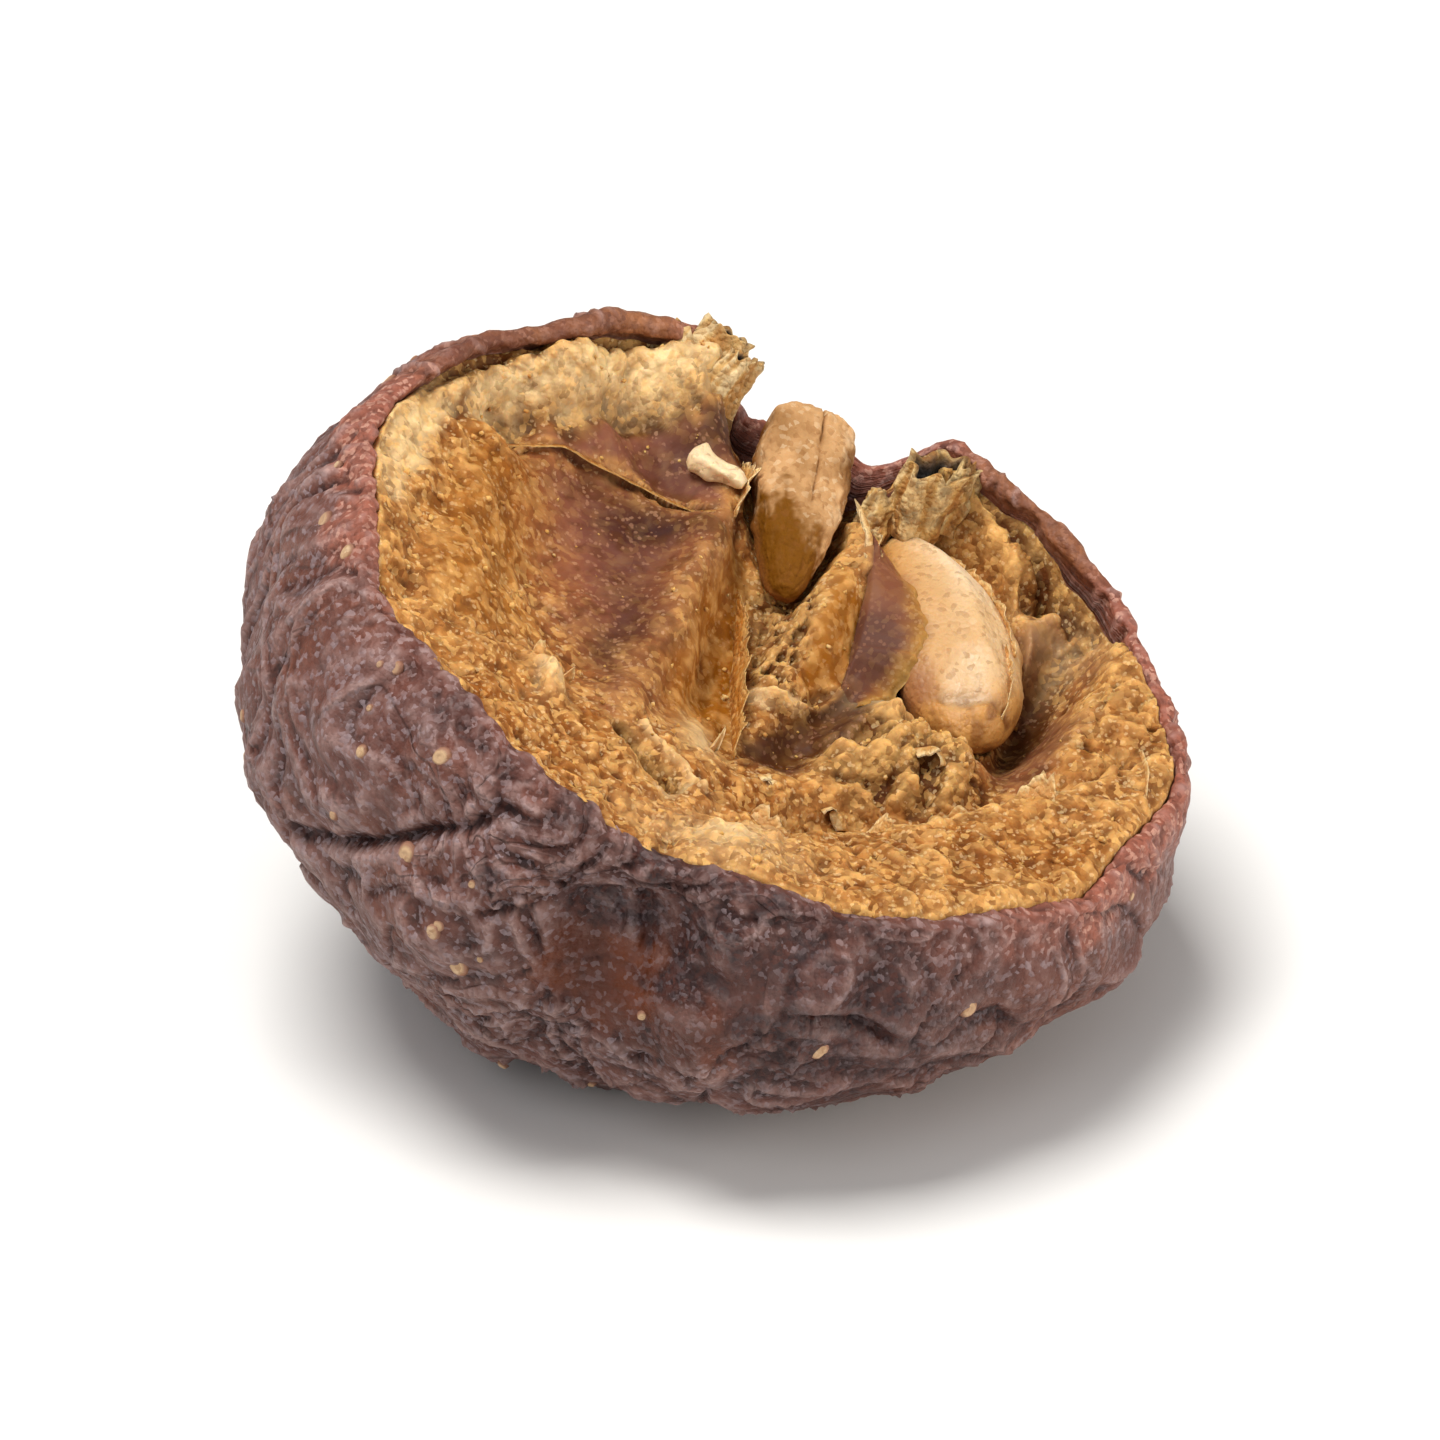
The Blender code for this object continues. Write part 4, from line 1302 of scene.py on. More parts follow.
@dataclass(frozen=True)
class StoneShape:
    """A stone's middle, half sizes and turns within the face."""

    u: float
    v: float
    w: float
    length: float
    width: float
    depth: float
    turn: float
    pitch: float
    taper: float
    bow: float
    gap: float = 0.45
    swell: float = 0.0
    side: float = 0.0
    wall_slope: float = 7.0
    no_floor: float = 10.0

    def local(self, u: Array, v: Array) -> tuple[Array, Array]:
        """Coordinates across and along the stone, before its bow."""
        turn = math.radians(self.turn)
        x = (u - self.u) * math.cos(turn) + (v - self.v) * math.sin(turn)
        y = (v - self.v) * math.cos(turn) - (u - self.u) * math.sin(turn)
        low = smooth(0.4, -0.5, y / self.length)
        return x - self.bow * (1.0 - (y / self.length) ** 2) + self.side * low, y

    def girth(self, along: Array) -> Array:
        """How wide the stone is along its length, beside a plain ellipsoid."""
        return 1.0 - self.taper * smooth(0.1, -1.0, along) + self.swell * smooth(0.4, -0.5, along)

    def _cross(self, u: Array, v: Array, gap: float) -> tuple[Array, Array, Array]:
        """Measures places of the face against the stone's outline.

        Args:
            u, v: Coordinates across and along the core.
            gap: Added to the outline all round.

        Returns:
            The share out to the outline, the height of the stone's middle, and half a circle's
            height over that share.
        """
        x, y = self.local(u, v)
        reach = np.hypot(x / (self.width * self.girth(y / self.length) + gap), y / (self.length + gap))
        middle = self.w - y * math.sin(math.radians(self.pitch))
        return reach, middle, np.sqrt(np.maximum(1.0 - reach * reach, 0.0))

    def floor(self, u: Array, v: Array) -> Array:
        """The height of the flesh under the stone, or a large value beside it."""
        reach, middle, arch = self._cross(u, v, self.gap)
        height = middle - (self.depth + self.gap) * arch + self.wall_slope * np.maximum(reach - 1.0, 0.0)
        return np.where(reach > 1.3, self.no_floor, height)

    def crown(self, u: Array, v: Array) -> Array:
        """The height of the stone's upper side, falling steeply beside it."""
        reach, middle, arch = self._cross(u, v, 0.0)
        narrow = self.girth(self.local(u, v)[1] / self.length)
        return middle + self.depth * np.minimum(narrow, 1.0) * arch - 4.0 * np.maximum(reach - 1.0, 0.0)

    def place(self, local: Array) -> Array:
        """World points of the stone's own coordinates."""
        turn, pitch = math.radians(self.turn), math.radians(-self.pitch)
        turned = np.array(Matrix.Rotation(turn, 3, "Z") @ Matrix.Rotation(pitch, 3, "X"))
        return FACE.world(np.array((self.u, self.v, self.w)) + local @ turned.T)


CENTRE_STONE = StoneShape(-0.75, 7.35, -1.75, 3.6, 1.3, 0.95, 14.0, -8.0, 0.45, 0.0, gap=0.2)
RIGHT_STONE = StoneShape(
    4.35, 5.75, -2.35, 4.25, 1.7, 1.45, 36.0, 3.0, 0.0, 0.6, gap=0.12, swell=0.2, side=0.3
)


@dataclass(frozen=True)
class FleshRelief:
    """The flesh inside the rim, with its hollows, ridges, films and crumbs."""

    below_rim: float = 0.55
    core_below_rim: float = 1.25
    band_radius: float = 10.8
    core_radius: float = 6.5
    deepest: float = -4.6
    grain_height: float = 0.2
    grain_size: float = 1.4
    ledge_start: Spot = (2.4, -7.4)
    ledge_slope: float = 1.05
    ledge_step: float = 0.5
    puffs: float = 0.13
    crumb: float = 0.075
    small_crumb: float = 0.035
    pore: float = 0.08
    hollows: tuple[Form, ...] = (
        Form(-4.9, 1.0, 5.8, 3.2, 16, -1.35, 1.9),
        Form(-0.7, 2.6, 5.2, 1.25, 9, -1.45, 1.5),
        Form(2.4, 0.4, 7.0, 3.3, 4, -1.35, 1.8),
        Form(2.2, 2.0, 1.3, 1.0, 60, -0.8),
        Form(5.4, 4.6, 4.6, 2.2, -14, -1.3, 1.6),
        Form(7.7, 5.0, 3.8, 0.9, -4, -2.1, 1.2),
        Form(5.6, -2.2, 4.6, 1.25, -44, -1.2, 1.5),
        Form(-1.2, -6.2, 1.2, 0.4, 58, -0.7),
        Form(-9.4, -0.8, 4.8, 0.6, 2, -0.25),
        Form(-9.0, 4.3, 1.0, 1.0, 0, -1.3),
        Form(-5.2, 7.1, 3.6, 1.1, 68, -0.9, 1.5),
        Form(-0.6, 10.3, 1.6, 2.6, 0, -0.9, 1.2),
        Form(6.8, 9.0, 1.0, 0.4, -50, -1.1),
        Form(-1.4, -2.2, 2.6, 1.0, 10, -0.9),
    )
    rises: tuple[Form, ...] = (
        Form(-2.4, 0.8, 5.4, 0.85, 2, 0.62),
        Form(1.5, 3.6, 2.4, 0.8, 0, 0.65),
        Form(3.8, 2.2, 1.2, 0.9, 20, 1.1),
        Form(-4.6, -5.5, 1.0, 0.4, 28, 0.75),
        Form(2.0, 7.4, 3.4, 0.85, -16, 0.8),
        Form(-7.7, -1.4, 4.4, 1.4, 4, 0.2, 1.3),
        Form(-8.2, 6.9, 4.6, 0.95, 134, 0.8, 1.2),
        Form(5.0, 0.6, 1.0, 2.6, -22, 0.8, 1.2),
        Form(1.3, -9.3, 1.3, 1.9, 10, 0.45, 1.2),
        Form(9.6, 3.6, 3.8, 1.3, 8, 0.35, 1.3),
    )
    tufts: tuple[Form, ...] = (
        Form(-4.8, 10.3, 0.9, 1.0, 0, 0.35),
        Form(1.9, 10.8, 1.0, 0.9, 20, 0.1),
    )

    def film(self, u: Array, v: Array) -> Array:
        """1 on the smooth films where stones lay, 0 on granular flesh."""
        dish = DISH.mask(u, v, 1.8)
        strip = STRIP.mask(u, v, 0.5)
        saddle = SADDLE.mask(u, v, 0.35)
        groove = 0.8 * RIGHT_GROOVE.band(u, v, 0.8, 0.8)
        return np.maximum.reduce([dish, strip, saddle, groove])

    def purple(self, u: Array, v: Array) -> Array:
        """1 where a film is darkest, in part painted shadow under the ledge."""
        spots = (
            Form(-3.9, 4.4, 0.9, 2.2, 10),
            Form(-3.5, 1.0, 3.6, 1.0, 12, 0.6),
            Form(-3.5, -1.6, 2.0, 0.9, 14, 0.6),
            Form(-4.1, 7.0, 1.1, 1.9, 70, 0.6),
            Form(-3.5, 8.8, 1.0, 0.9, 0, 0.9),
            Form(1.0, 9.3, 1.8, 1.2, -20),
            Form(2.9, 2.6, 3.2, 1.0, 30),
            # Painted shadow under the ledge.
            Form(1.9, -0.6, 1.2, 2.5, 62, 1.4),
            Form(2.9, 5.2, 2.4, 1.0, -20, 1.0),
            Form(2.4, 1.0, 0.9, 1.5, 40, 1.0),
        )
        dark = sum(spot.height(u, v) for spot in spots)
        return whole(dark + 0.4 * RIGHT_GROOVE.band(u, v, 0.6))

    def amber(self, u: Array, v: Array) -> Array:
        """1 where the flesh is smooth, clear and glowing."""
        corner = Form(3.8, 2.2, 1.2, 0.9, 20).inside(u, v, 0.5)
        pillow = 0.6 * Form(-7.7, -0.6, 5.0, 1.8, 4).inside(u, v, 0.8)
        return np.maximum.reduce([VALLEY.mask(u, v, 0.5), COLUMN.mask(u, v, 0.3), 0.7 * corner, pillow])

    def olive(self, u: Array, v: Array) -> Array:
        """1 where the flesh is greyer, by the lumps, the pores and the calyx."""
        swell = 0.3 * SWELL.mask(u, v, 0.6)
        side = 0.35 * Form(-11.2, 1.6, 4.4, 0.9, 0).inside(u, v, 0.7)
        return whole(0.9 * LUMPS.mask(u, v, 0.4) + 0.6 * PORES.mask(u, v, 0.25) + swell + side)

    def pale(self, u: Array, v: Array) -> Array:
        """1 where the flesh is dry and cream-coloured."""
        ledge = COLUMN_LEDGE.band(u, v, 0.24, 0.6) * smooth(2.3, 1.5, u)
        edge = LEDGE.band(u, v, 0.2, 0.8) * smooth(0.0, 0.3, rough(level(u, v) / 0.9))
        spots = (
            (0.7, Form(1.4, -9.2, 1.2, 1.7, 8)),
            (0.25, Form(7.4, 8.0, 1.4, 1.2, 20)),
            (0.6, Form(-0.4, -3.0, 1.0, 0.8, 0)),
            (0.8, Form(-4.6, -5.3, 0.9, 0.5, 28)),
            (0.4, Form(3.9, 2.2, 0.9, 0.7, 20)),
        )
        side = 0.8 * Form(-11.2, 2.0, 4.6, 0.9, 4).inside(u, v, 0.6)
        dry = 0.6 + 0.4 * smooth(-0.25, 0.2, rough(level(u, v) / 0.8, (4, 4, 0)))
        spread = dry * (SWELL.mask(u, v, 0.7) + side)
        spread = spread + sum(share * form.height(u, v) for share, form in spots)
        return whole(0.5 * ledge + 0.5 * edge + spread)

    def base(self, u: Array, v: Array) -> Array:
        """The main forms, as the solid has them."""
        core = smooth(self.band_radius, self.core_radius, np.hypot(u, v))
        height = -self.below_rim - (self.core_below_rim - self.below_rim) * core
        height = height + sum(form.height(u, v) for form in self.hollows + self.rises)
        height = height + self.grain_height * rough(level(u, v) / self.grain_size)
        start_u, start_v = self.ledge_start
        behind = v - start_v - self.ledge_slope * (u - start_u)
        step = self.ledge_step * smooth(0.3, 2.0, u) * smooth(0.5, -0.25, behind)
        return np.maximum(height + step, self.deepest)

    def details(self, u: Array, v: Array) -> Array:
        """Sharper lines on the main forms: the film's edge, streaks, the slit and the ledge."""
        flat = level(u, v)
        gap, side, along = MEMBRANE.nearest(u, v)
        ends = smooth(0.0, 0.12, along) * smooth(1.0, 0.93, along)
        height = -0.26 * ends * np.where(side < 0, 1.0, 0.0) * np.exp(-gap / 0.7)
        streaks = rough(level((u + 0.12 * v) / 0.4, v / 3.2), (4, 0, 0))
        height = height + 0.13 * streaks * VALLEY.mask(u, v, 0.5)
        height = height - 0.2 * Form(-0.9, 1.4, 2.6, 0.45, 8).height(u, v)
        height = height - 1.3 * np.exp(-((SLIT.nearest(u, v)[0] / 0.22) ** 4))
        height = height + 0.25 * SLIT_RIDGE.ridge(u, v, 0.15) + 0.3 * COLUMN_LEDGE.ridge(u, v, 0.17)
        height = height - 1.1 * Form(1.9, -0.5, 1.0, 2.0, 62).height(u, v)
        jagged = rough(flat / 0.7, (2, 9, 0))
        gap, side, along = LEDGE.nearest(u + 0.5 * jagged, v)
        front = smooth(-0.12, 0.14, -side * gap)
        raised = (0.32 + 0.3 * jagged) * front * np.exp(-gap / 0.9) - 0.4 * (1.0 - front) * np.exp(-gap / 0.6)
        height = height + raised * smooth(0.0, 0.2, along)
        radius = np.hypot(u, v)
        fibres = rough(level(np.arctan2(v, u) * 22.0, radius / 1.8), (3, 8, 1))
        height = height + 0.16 * fibres * smooth(6.5, 8.5, radius) * smooth(-3.0, -5.0, v)
        swollen = rough(flat / 0.9, (1, 1, 4)) + 0.5 * rough(flat / 0.4, (5, 1, 4))
        height = height + 0.12 * swollen * SWELL.mask(u, v, 0.6) - 0.3 * SWELL_EDGE.ridge(u, v, 0.3)
        height = height + 0.9 * (self.clods(u, v) - 0.3) * LUMPS.mask(u, v, 0.5)
        block = lumps(wandered(flat, 1.4, 0.6) / 2.1, (5, 2, 3)) - 0.3
        crack = ridge(rough(flat / 1.3, (7, 5, 0)), 0.05)
        return height + (0.34 * block - 0.2 * crack) * RIGHT_BLOCK.mask(u, v, 0.6)

    @staticmethod
    def clods(u: Array, v: Array) -> Array:
        """Rounded lumps a millimetre wide, 0 in the gaps between them."""
        flat = level(u, v)
        return lumps(wandered(flat, 1.0, 0.4) / 1.3, (2, 2, 8)) + 0.3 * lumps(flat / 0.55, (6, 2, 1))

    @staticmethod
    def pits(spots: Array) -> Array:
        """The pattern of the porous part: high in its holes."""
        return lumps(spots / 0.42, (5, 5, 5))

    def crumbs(self, spots: Array, u: Array, v: Array) -> Array:
        """Granular lumps of the flesh, faint on the films."""
        film = self.film(u, v)
        loose = wandered(spots, 1.1, 0.5)
        uneven = smooth(-0.25, 0.3, rough(spots / 2.3, (1, 7, 7)))
        puff = lumps(loose / 1.25, (3, 1, 2)) - 0.45
        crumb = rough(loose / 0.62, (1, 6, 4)) + 0.6 * rough(loose / 0.31, (2, 6, 1))
        crumb = crumb + 0.4 * rough(loose / 0.17, (8, 6, 1))
        small = lumps(loose / 0.34, (9, 2, 7)) - 0.45
        pore = smooth(0.22, 0.42, rough(loose / 0.42, (3, 3, 3)))
        height = self.puffs * uneven * puff + self.crumb * mix(0.7, 1.2, uneven) * crumb
        height = height + self.small_crumb * small - self.pore * pore
        pits = -0.4 * PORES.mask(u, v, 0.25) * smooth(0.45, 0.85, self.pits(spots))
        skim = (0.08 * rough(spots / 0.9, (6, 2, 1)) + 0.03 * rough(spots / 0.25)) * film
        return height * mix(1.0, 0.05, film) * mix(1.0, 0.3, self.amber(u, v)) + pits + skim


@dataclass
class BerryFlesh(Piece):
    """The flesh: the cut face with all its relief, closed by a rounded underside."""

    cells: int = 304
    under_rings: int = 10
    inset: float = 0.3
    under_inset: float = 0.8
    granule_height: float = 0.11
    relief: FleshRelief = FleshRelief()

    name = "berry_flesh"
    finish = FleshFinish()
    nodes = (Node.BERRY,)

    def _disc(self) -> tuple[Array, Array]:
        """Angles and shares of a square grid that is spread evenly over a disc."""
        step = np.linspace(-1.0, 1.0, self.cells + 1)
        a, b = np.meshgrid(step, step, indexing="ij")
        wide = np.abs(a) > np.abs(b)
        safe_a, safe_b = np.where(a == 0, 1e-9, a), np.where(b == 0, 1e-9, b)
        size = np.where(wide, a, b)
        turn = np.where(wide, math.pi / 4 * b / safe_a, math.pi / 2 - math.pi / 4 * a / safe_b)
        return np.arctan2(size * np.sin(turn), size * np.cos(turn)), np.abs(size)

    def surface(self, angle: Array, share: Array) -> Array:
        """Face coordinates of the cut face's flesh.

        Args:
            angle: Directions from the face's middle.
            share: Shares of the way out to the edge of the flesh.

        Returns:
            The coordinates.
        """
        radius = RIM.radius_at(angle) - self.inset
        u, v = radius * share * np.cos(angle), radius * share * np.sin(angle)
        edge, curl = RIM.height_at(angle), RIM.curl(angle)
        relief = self.relief
        height = relief.base(u, v) + edge * smooth(0.55, 1.0, share)
        inset = radius * (1.0 - share)
        fill = mix(0.5, 0.0, curl) * smooth(1.6, 0.15, inset) * (1.0 - RIM.notch(angle))
        fill = fill - 0.35 * curl * smooth(0.55, 0.25, inset)
        height = height + fill + sum(form.height(u, v) for form in relief.tufts)
        height = height + relief.details(u, v)
        height = height + relief.crumbs(spots_of(u, v, height), u, v)
        limit = edge - 0.02 + 0.5 * inset
        height = np.where(height > limit, limit + 0.2 * (height - limit), height)
        height = mix(height, edge - 0.5, smooth(0.22, 0.0, inset))
        for stone in (CENTRE_STONE, RIGHT_STONE):
            height = np.where(share < 0.999, np.minimum(height, stone.floor(u, v)), height)
        return spots_of(u, v, height)

    def _granules(self, spots: Array) -> Array:
        """Granules in space, so that steep slopes have them too."""
        bent = wandered(spots, 0.8, 0.25)
        return rough(bent / 0.62, (2, 5, 5)) + 0.7 * rough(bent / 0.3, (7, 5, 5))

    def _raised(self, spots: Array, share: Array, granules: Array) -> Array:
        """Moves the surface outward by its granules."""
        across = np.cross(np.gradient(spots, axis=0), np.gradient(spots, axis=1))
        normal = unit(across * np.sign(across[..., 2:]))
        u, v = spots[..., 0], spots[..., 1]
        where = mix(1.0, 0.08, self.relief.film(u, v)) * mix(1.0, 0.3, self.relief.amber(u, v))
        where = where * (1.0 + 0.4 * SWELL.mask(u, v, 0.6)) * smooth(1.0, 0.97, share)
        where = where * (1.0 - 0.8 * SLIT.band(u, v, 0.8, 0.5))
        return spots + (self.granule_height * granules * where)[..., None] * normal

    def at(self, u: Array, v: Array) -> Array:
        """World points of the flesh's surface at places of the face."""
        angle = np.arctan2(v, u)
        share = np.hypot(u, v) / (RIM.radius_at(angle) - self.inset)
        return FACE.world(self.surface(angle, np.minimum(share, 0.98)))

    def _masks(self, spots: Array, granules: Array) -> Masks:
        """Where the flesh is film, amber, olive or pale, where painted shade lies in its hollows and shadows,
        and where painted highlights lie on its raised crests.

        Args:
            spots: Face coordinates of the surface.
            granules: Height of the granules there.

        Returns:
            The masks by name.
        """
        loose = wandered(wandered(spots, 1.6, 0.6), 0.5, 0.22)
        u, v, height = loose[..., 0], loose[..., 1], spots[..., 2]
        relief = self.relief
        near = blurred(height, 3, False) - height
        wide = blurred(height, 15, False) - height
        true_u, true_v = spots[..., 0], spots[..., 1]
        curl = RIM.curl(np.arctan2(true_v, true_u))
        inset = RIM.radius_at(np.arctan2(true_v, true_u)) - self.inset - np.hypot(true_u, true_v)
        amber, lumpy, clods = relief.amber(u, v), LUMPS.mask(u, v, 0.5), relief.clods(true_u, true_v)
        # Painted shade: in the relief's hollows, under the curled skin, between low granules, under the
        # swell's edge, in the pores, under the ledge, in the slit and between the lumps.
        hollow = 0.55 * smooth(0.02, 0.15, near) + 0.75 * smooth(0.12, 0.9, wide)
        hollow = hollow * (1.0 - 0.4 * SWELL.mask(u, v, 0.6)) + 0.7 * curl * smooth(0.75, 0.2, inset)
        hollow = hollow + 0.5 * smooth(-0.1, -0.5, granules) * (1.0 - 0.7 * amber)
        hollow = hollow + 0.75 * SWELL_EDGE.band(u, v, 0.35, 0.9)
        hollow = hollow + PORES.mask(u, v, 0.25) * (0.45 + 0.55 * smooth(0.25, 0.6, relief.pits(spots)))
        hollow = hollow + 0.6 * Form(1.9, -0.6, 1.1, 2.4, 62).height(true_u, true_v)
        hollow = hollow + smooth(0.46, 0.3, SLIT.nearest(true_u, true_v)[0])
        hollow = hollow + 0.8 * lumpy * smooth(0.55, 0.25, clods)
        # Painted highlight on crests, granules and lumps, partly real dry tips.
        crest = 0.45 * smooth(0.01, 0.13, -near) + 0.2 * smooth(0.1, 0.5, -wide)
        crest = crest + 0.35 * smooth(0.1, 0.5, granules) + 0.5 * lumpy * smooth(0.6, 0.95, clods)
        pale = whole(relief.pale(u, v) + 0.5 * SLIT_RIDGE.band(true_u, true_v, 0.14, 0.6))
        return {
            "film": relief.film(u, v),
            "purple": relief.purple(u, v),
            "amber": amber,
            "olive": relief.olive(u, v),
            # Pale flesh is kept from under the curled skin, so that the painted shadow there stays dark.
            "pale": pale * (1.0 - curl * smooth(0.85, 0.4, inset)),
            "hollow": whole(hollow),
            "crest": whole(crest),
        }

    def fill(self, sheet: Sheet) -> None:
        """Adds the cut face, and the rounded underside that closes it."""
        angle, share = self._disc()
        spots = self.surface(angle, share)
        granules = self._granules(spots)
        spots = self._raised(spots, share, granules)
        rows = sheet.add(FACE.world(spots), self._masks(spots, granules))
        sheet.grid(rows, closed=False)
        edge, around = (
            np.concatenate([grid[-1, :-1], grid[:0:-1, -1], grid[0, :0:-1], grid[:-1, 0]])
            for grid in (rows, angle)
        )
        drop = np.linspace(0.05, 0.96, self.under_rings)
        sheet.line(edge, around[::4], drop, self.under_inset)


# The stones


@dataclass
class Stone(Piece):
    """A detailed stone that stands for its solid."""

    shape: StoneShape
    segments: int = 150
    rings: int = 120

    def _ball(self) -> tuple[Array, Array, Array]:
        """A ball's coordinates: rings from the stem end to the calyx end, without its poles."""
        turn = full_turn(self.segments)
        slope = ((np.arange(self.rings) + 0.5) / self.rings * math.pi)[:, None]
        return np.sin(slope) * np.cos(turn), -np.cos(slope) + 0.0 * turn, np.sin(slope) * np.sin(turn)

    def shaped(self, x: Array, along: Array, z: Array) -> tuple[Array, Masks]:
        """Local coordinates of the stone's surface and its masks, from a ball's coordinates."""
        raise NotImplementedError

    def fill(self, sheet: Sheet) -> None:
        """Adds the stone's rings and ends."""
        local, masks = self.shaped(*self._ball())
        rows = sheet.add(self.shape.place(local), masks)
        sheet.grid(rows, flip=True)
        sheet.cap(rows[0], self.shape.place(local[0].mean(0)))
        sheet.cap(rows[-1], self.shape.place(local[-1].mean(0)), flip=True)


OUTLINE_LOW = ((-1.0, 0.0), (-0.95, 0.27), (-0.85, 0.42), (-0.6, 0.58), (-0.2, 0.84), (0.15, 0.98))


@dataclass
class CentreStone(Stone):
    """The woody stone at the notch: a flaking slab with a groove along it."""

    shape: StoneShape = CENTRE_STONE
    outline: tuple[Spot, ...] = (*OUTLINE_LOW, (0.6, 1.0), (0.88, 0.95), (0.97, 0.75), (1.0, 0.0))
    blunting: float = 0.05
    groove_at: float = 0.12

    name = "woody_centre_stone"
    finish = StoneFinish(
        "woody stone", 0.72, 0.12, glow=0.05, ground=(0.52, 0.29, 0.125), warm=(0.15, 0.052, 0.001)
    )
    slot = Slot.WOODY
    nodes = (Node.CENTRE,)

    def shaped(self, x: Array, along: Array, z: Array) -> tuple[Array, Masks]:
        """A flat-topped slab that narrows towards the stem, with a flaking right flank."""
        shape = self.shape
        round_here = np.sqrt(np.maximum(1.0 - along * along, 1e-4))
        half = np.interp(along, *zip(*self.outline))
        side, up = x / round_here, z / round_here
        side = np.sign(side) * np.abs(side) ** 0.75
        up = np.sign(up) * np.abs(up) ** mix(0.65, 0.35, smooth(-0.9, -0.2, along))
        spots = spots_of(side * 1.3, along * 3.6, up)
        line = side - self.groove_at - 0.05 * rough(level(along * 3.0, 0.0 * x))
        top = smooth(0.1, 0.6, up)
        groove = 0.2 * ridge(line, 0.035) * top * smooth(-0.35, 0.1, along)
        tilt = 0.16 * np.maximum(line, 0.0) + 0.08 * np.maximum(-line, 0.0)
        grain = rough(spots_of(side * 9.0, along * 2.4, up * 2.0), (1, 0, 0))
        flakes = smooth(0.35, 0.9, side) * lumps(wandered(spots, 0.9, 0.3) / 0.7, (4, 4, 0))
        frill = rough(spots_of(along * 4.5, side, up), (2, 2, 2)) + 0.5 * rough(spots / 0.3)
        wide = side * half * shape.width * (1.0 + 0.09 * frill * smooth(0.4, 0.95, np.abs(side)))
        hump = 0.14 * rough(spots / 1.1, (3, 1, 1)) + 0.09 * rough(spots / 0.35, (0, 1, 1))
        hump = hump + 0.04 * rough(spots / 0.14) + 0.012 * grain + 0.07 * flakes * top
        tall = up * (0.75 + 0.25 * half) - (groove + tilt) * top + hump
        tall = tall * shape.depth * np.minimum(half * 1.6, 1.0)
        warm = along + 0.2 * side + 0.3 * rough(spots / 0.7) + 0.2 * rough(spots / 0.2)
        # Painted shade between the flakes.
        between = 0.5 * smooth(0.5, 0.0, flakes) * smooth(0.5, 0.9, side)
        masks = {
            # Painted shade in the groove, on the underside and between the flakes.
            "hollow": whole(3.5 * groove + smooth(0.2, -0.4, up) + between),
            # Lighter on the flakes' tops.
            "crest": 0.3 * smooth(0.2, 0.8, flakes) * smooth(-0.4, 0.0, along),
            "warm": smooth(-0.1, -0.5, warm),
        }
        lengthwise = (along * (1.0 - self.blunting) + self.blunting) * shape.length
        return spots_of(wide, lengthwise, tall), masks


@dataclass
class RightStone(Stone):
    """The pale nutlet in its hollow, glossy where it is rubbed, with a painted highlight on that spot and on
    its top.
    """

    shape: StoneShape = RIGHT_STONE
    gloss_at: Spot = (-0.2, -0.6)

    name = "pale_right_stone"
    finish = StoneFinish()
    slot = Slot.PALE
    nodes = (Node.RIGHT,)

    def shaped(self, x: Array, along: Array, z: Array) -> tuple[Array, Masks]:
        """A bowed nutlet with a soft keel along its top."""
        shape = self.shape
        narrow = shape.girth(along)
        bow = shape.bow * (1.0 - along * along) - shape.side * smooth(0.4, -0.5, along)
        spots = spots_of(x * 1.7, along * 4.25, z * 1.45)
        waves = rough(spots / 1.5, (0, 3, 3))
        fine = rough(spots_of(x * 5.0, along * 3.0, z * 4.0), (7, 0, 0))
        ring = np.hypot((x - self.gloss_at[0]) / 0.42, (along - self.gloss_at[1]) / 0.22)
        top = smooth(0.0, 0.5, z)
        fold = 0.1 * ridge(along + 0.78 + 0.2 * x, 0.05) * top
        raised = 0.14 * ridge(x - 0.05, 0.22) - 0.07 * np.exp(-(ring**4)) + 0.05 * ridge(ring - 1.15, 0.2)
        tall = z + raised * top - fold + 0.1 * waves + 0.03 * fine
        tall = tall * shape.depth * np.minimum(narrow, 1.0)
        frayed = 0.05 * rough(spots / 0.35, (1, 2, 0)) * smooth(0.6, 0.95, x)
        wide = (x * (1.0 + 0.05 * waves) + frayed) * shape.width * narrow + bow
        dry = 0.7 * smooth(-0.1, 0.4, along) * smooth(-0.3, 0.3, x + 0.3 * waves)
        streaks = rough(spots_of(x * 6.0, along * 1.5, z * 4.0), (2, 7, 0))
        streaks = 0.7 * smooth(-0.5, -0.9, along) * smooth(-0.1, 0.3, streaks)
        warm = smooth(-0.4, -0.85, along) + 0.6 * smooth(0.3, -0.1, z) + 0.9 * smooth(0.1, -0.5, x)
        # Painted highlight on the top and on the rubbed spot, with real dry pale parts.
        crest = 0.25 * smooth(0.35, 0.95, z) + 0.25 * smooth(1.3, 0.5, ring + 0.3 * fine) + dry
        masks = {
            "film": 0.6 * smooth(-0.6, -0.9, x + 0.2 * rough(spots / 1.1, (2, 0, 1))),
            "warm": whole(warm + 0.5 * waves),
            # Painted shade on the underside and in the fold, with real dark streaks.
            "hollow": whole(smooth(0.1, -0.5, z) * 0.8 + 5.0 * fold + streaks),
            "crest": whole(crest) * top,
            "gloss": smooth(1.2, 0.6, ring) * top,
        }
        return spots_of(wide, along * shape.length, tall), masks


# Films, flakes and other torn remains

FILM_LEFT = ((0.5, 9.4), (1.0, 8.0), (1.3, 7.1), (1.6, 6.1), (1.95, 5.0), (2.2, 4.0), (2.4, 3.0), (2.5, 2.0))
FILM_RIGHT = ((1.4, 8.7), (1.9, 7.8), (2.6, 6.9), (3.5, 5.8), (4.05, 4.8), (4.2, 3.9), (3.9, 2.9), (3.4, 2.1))

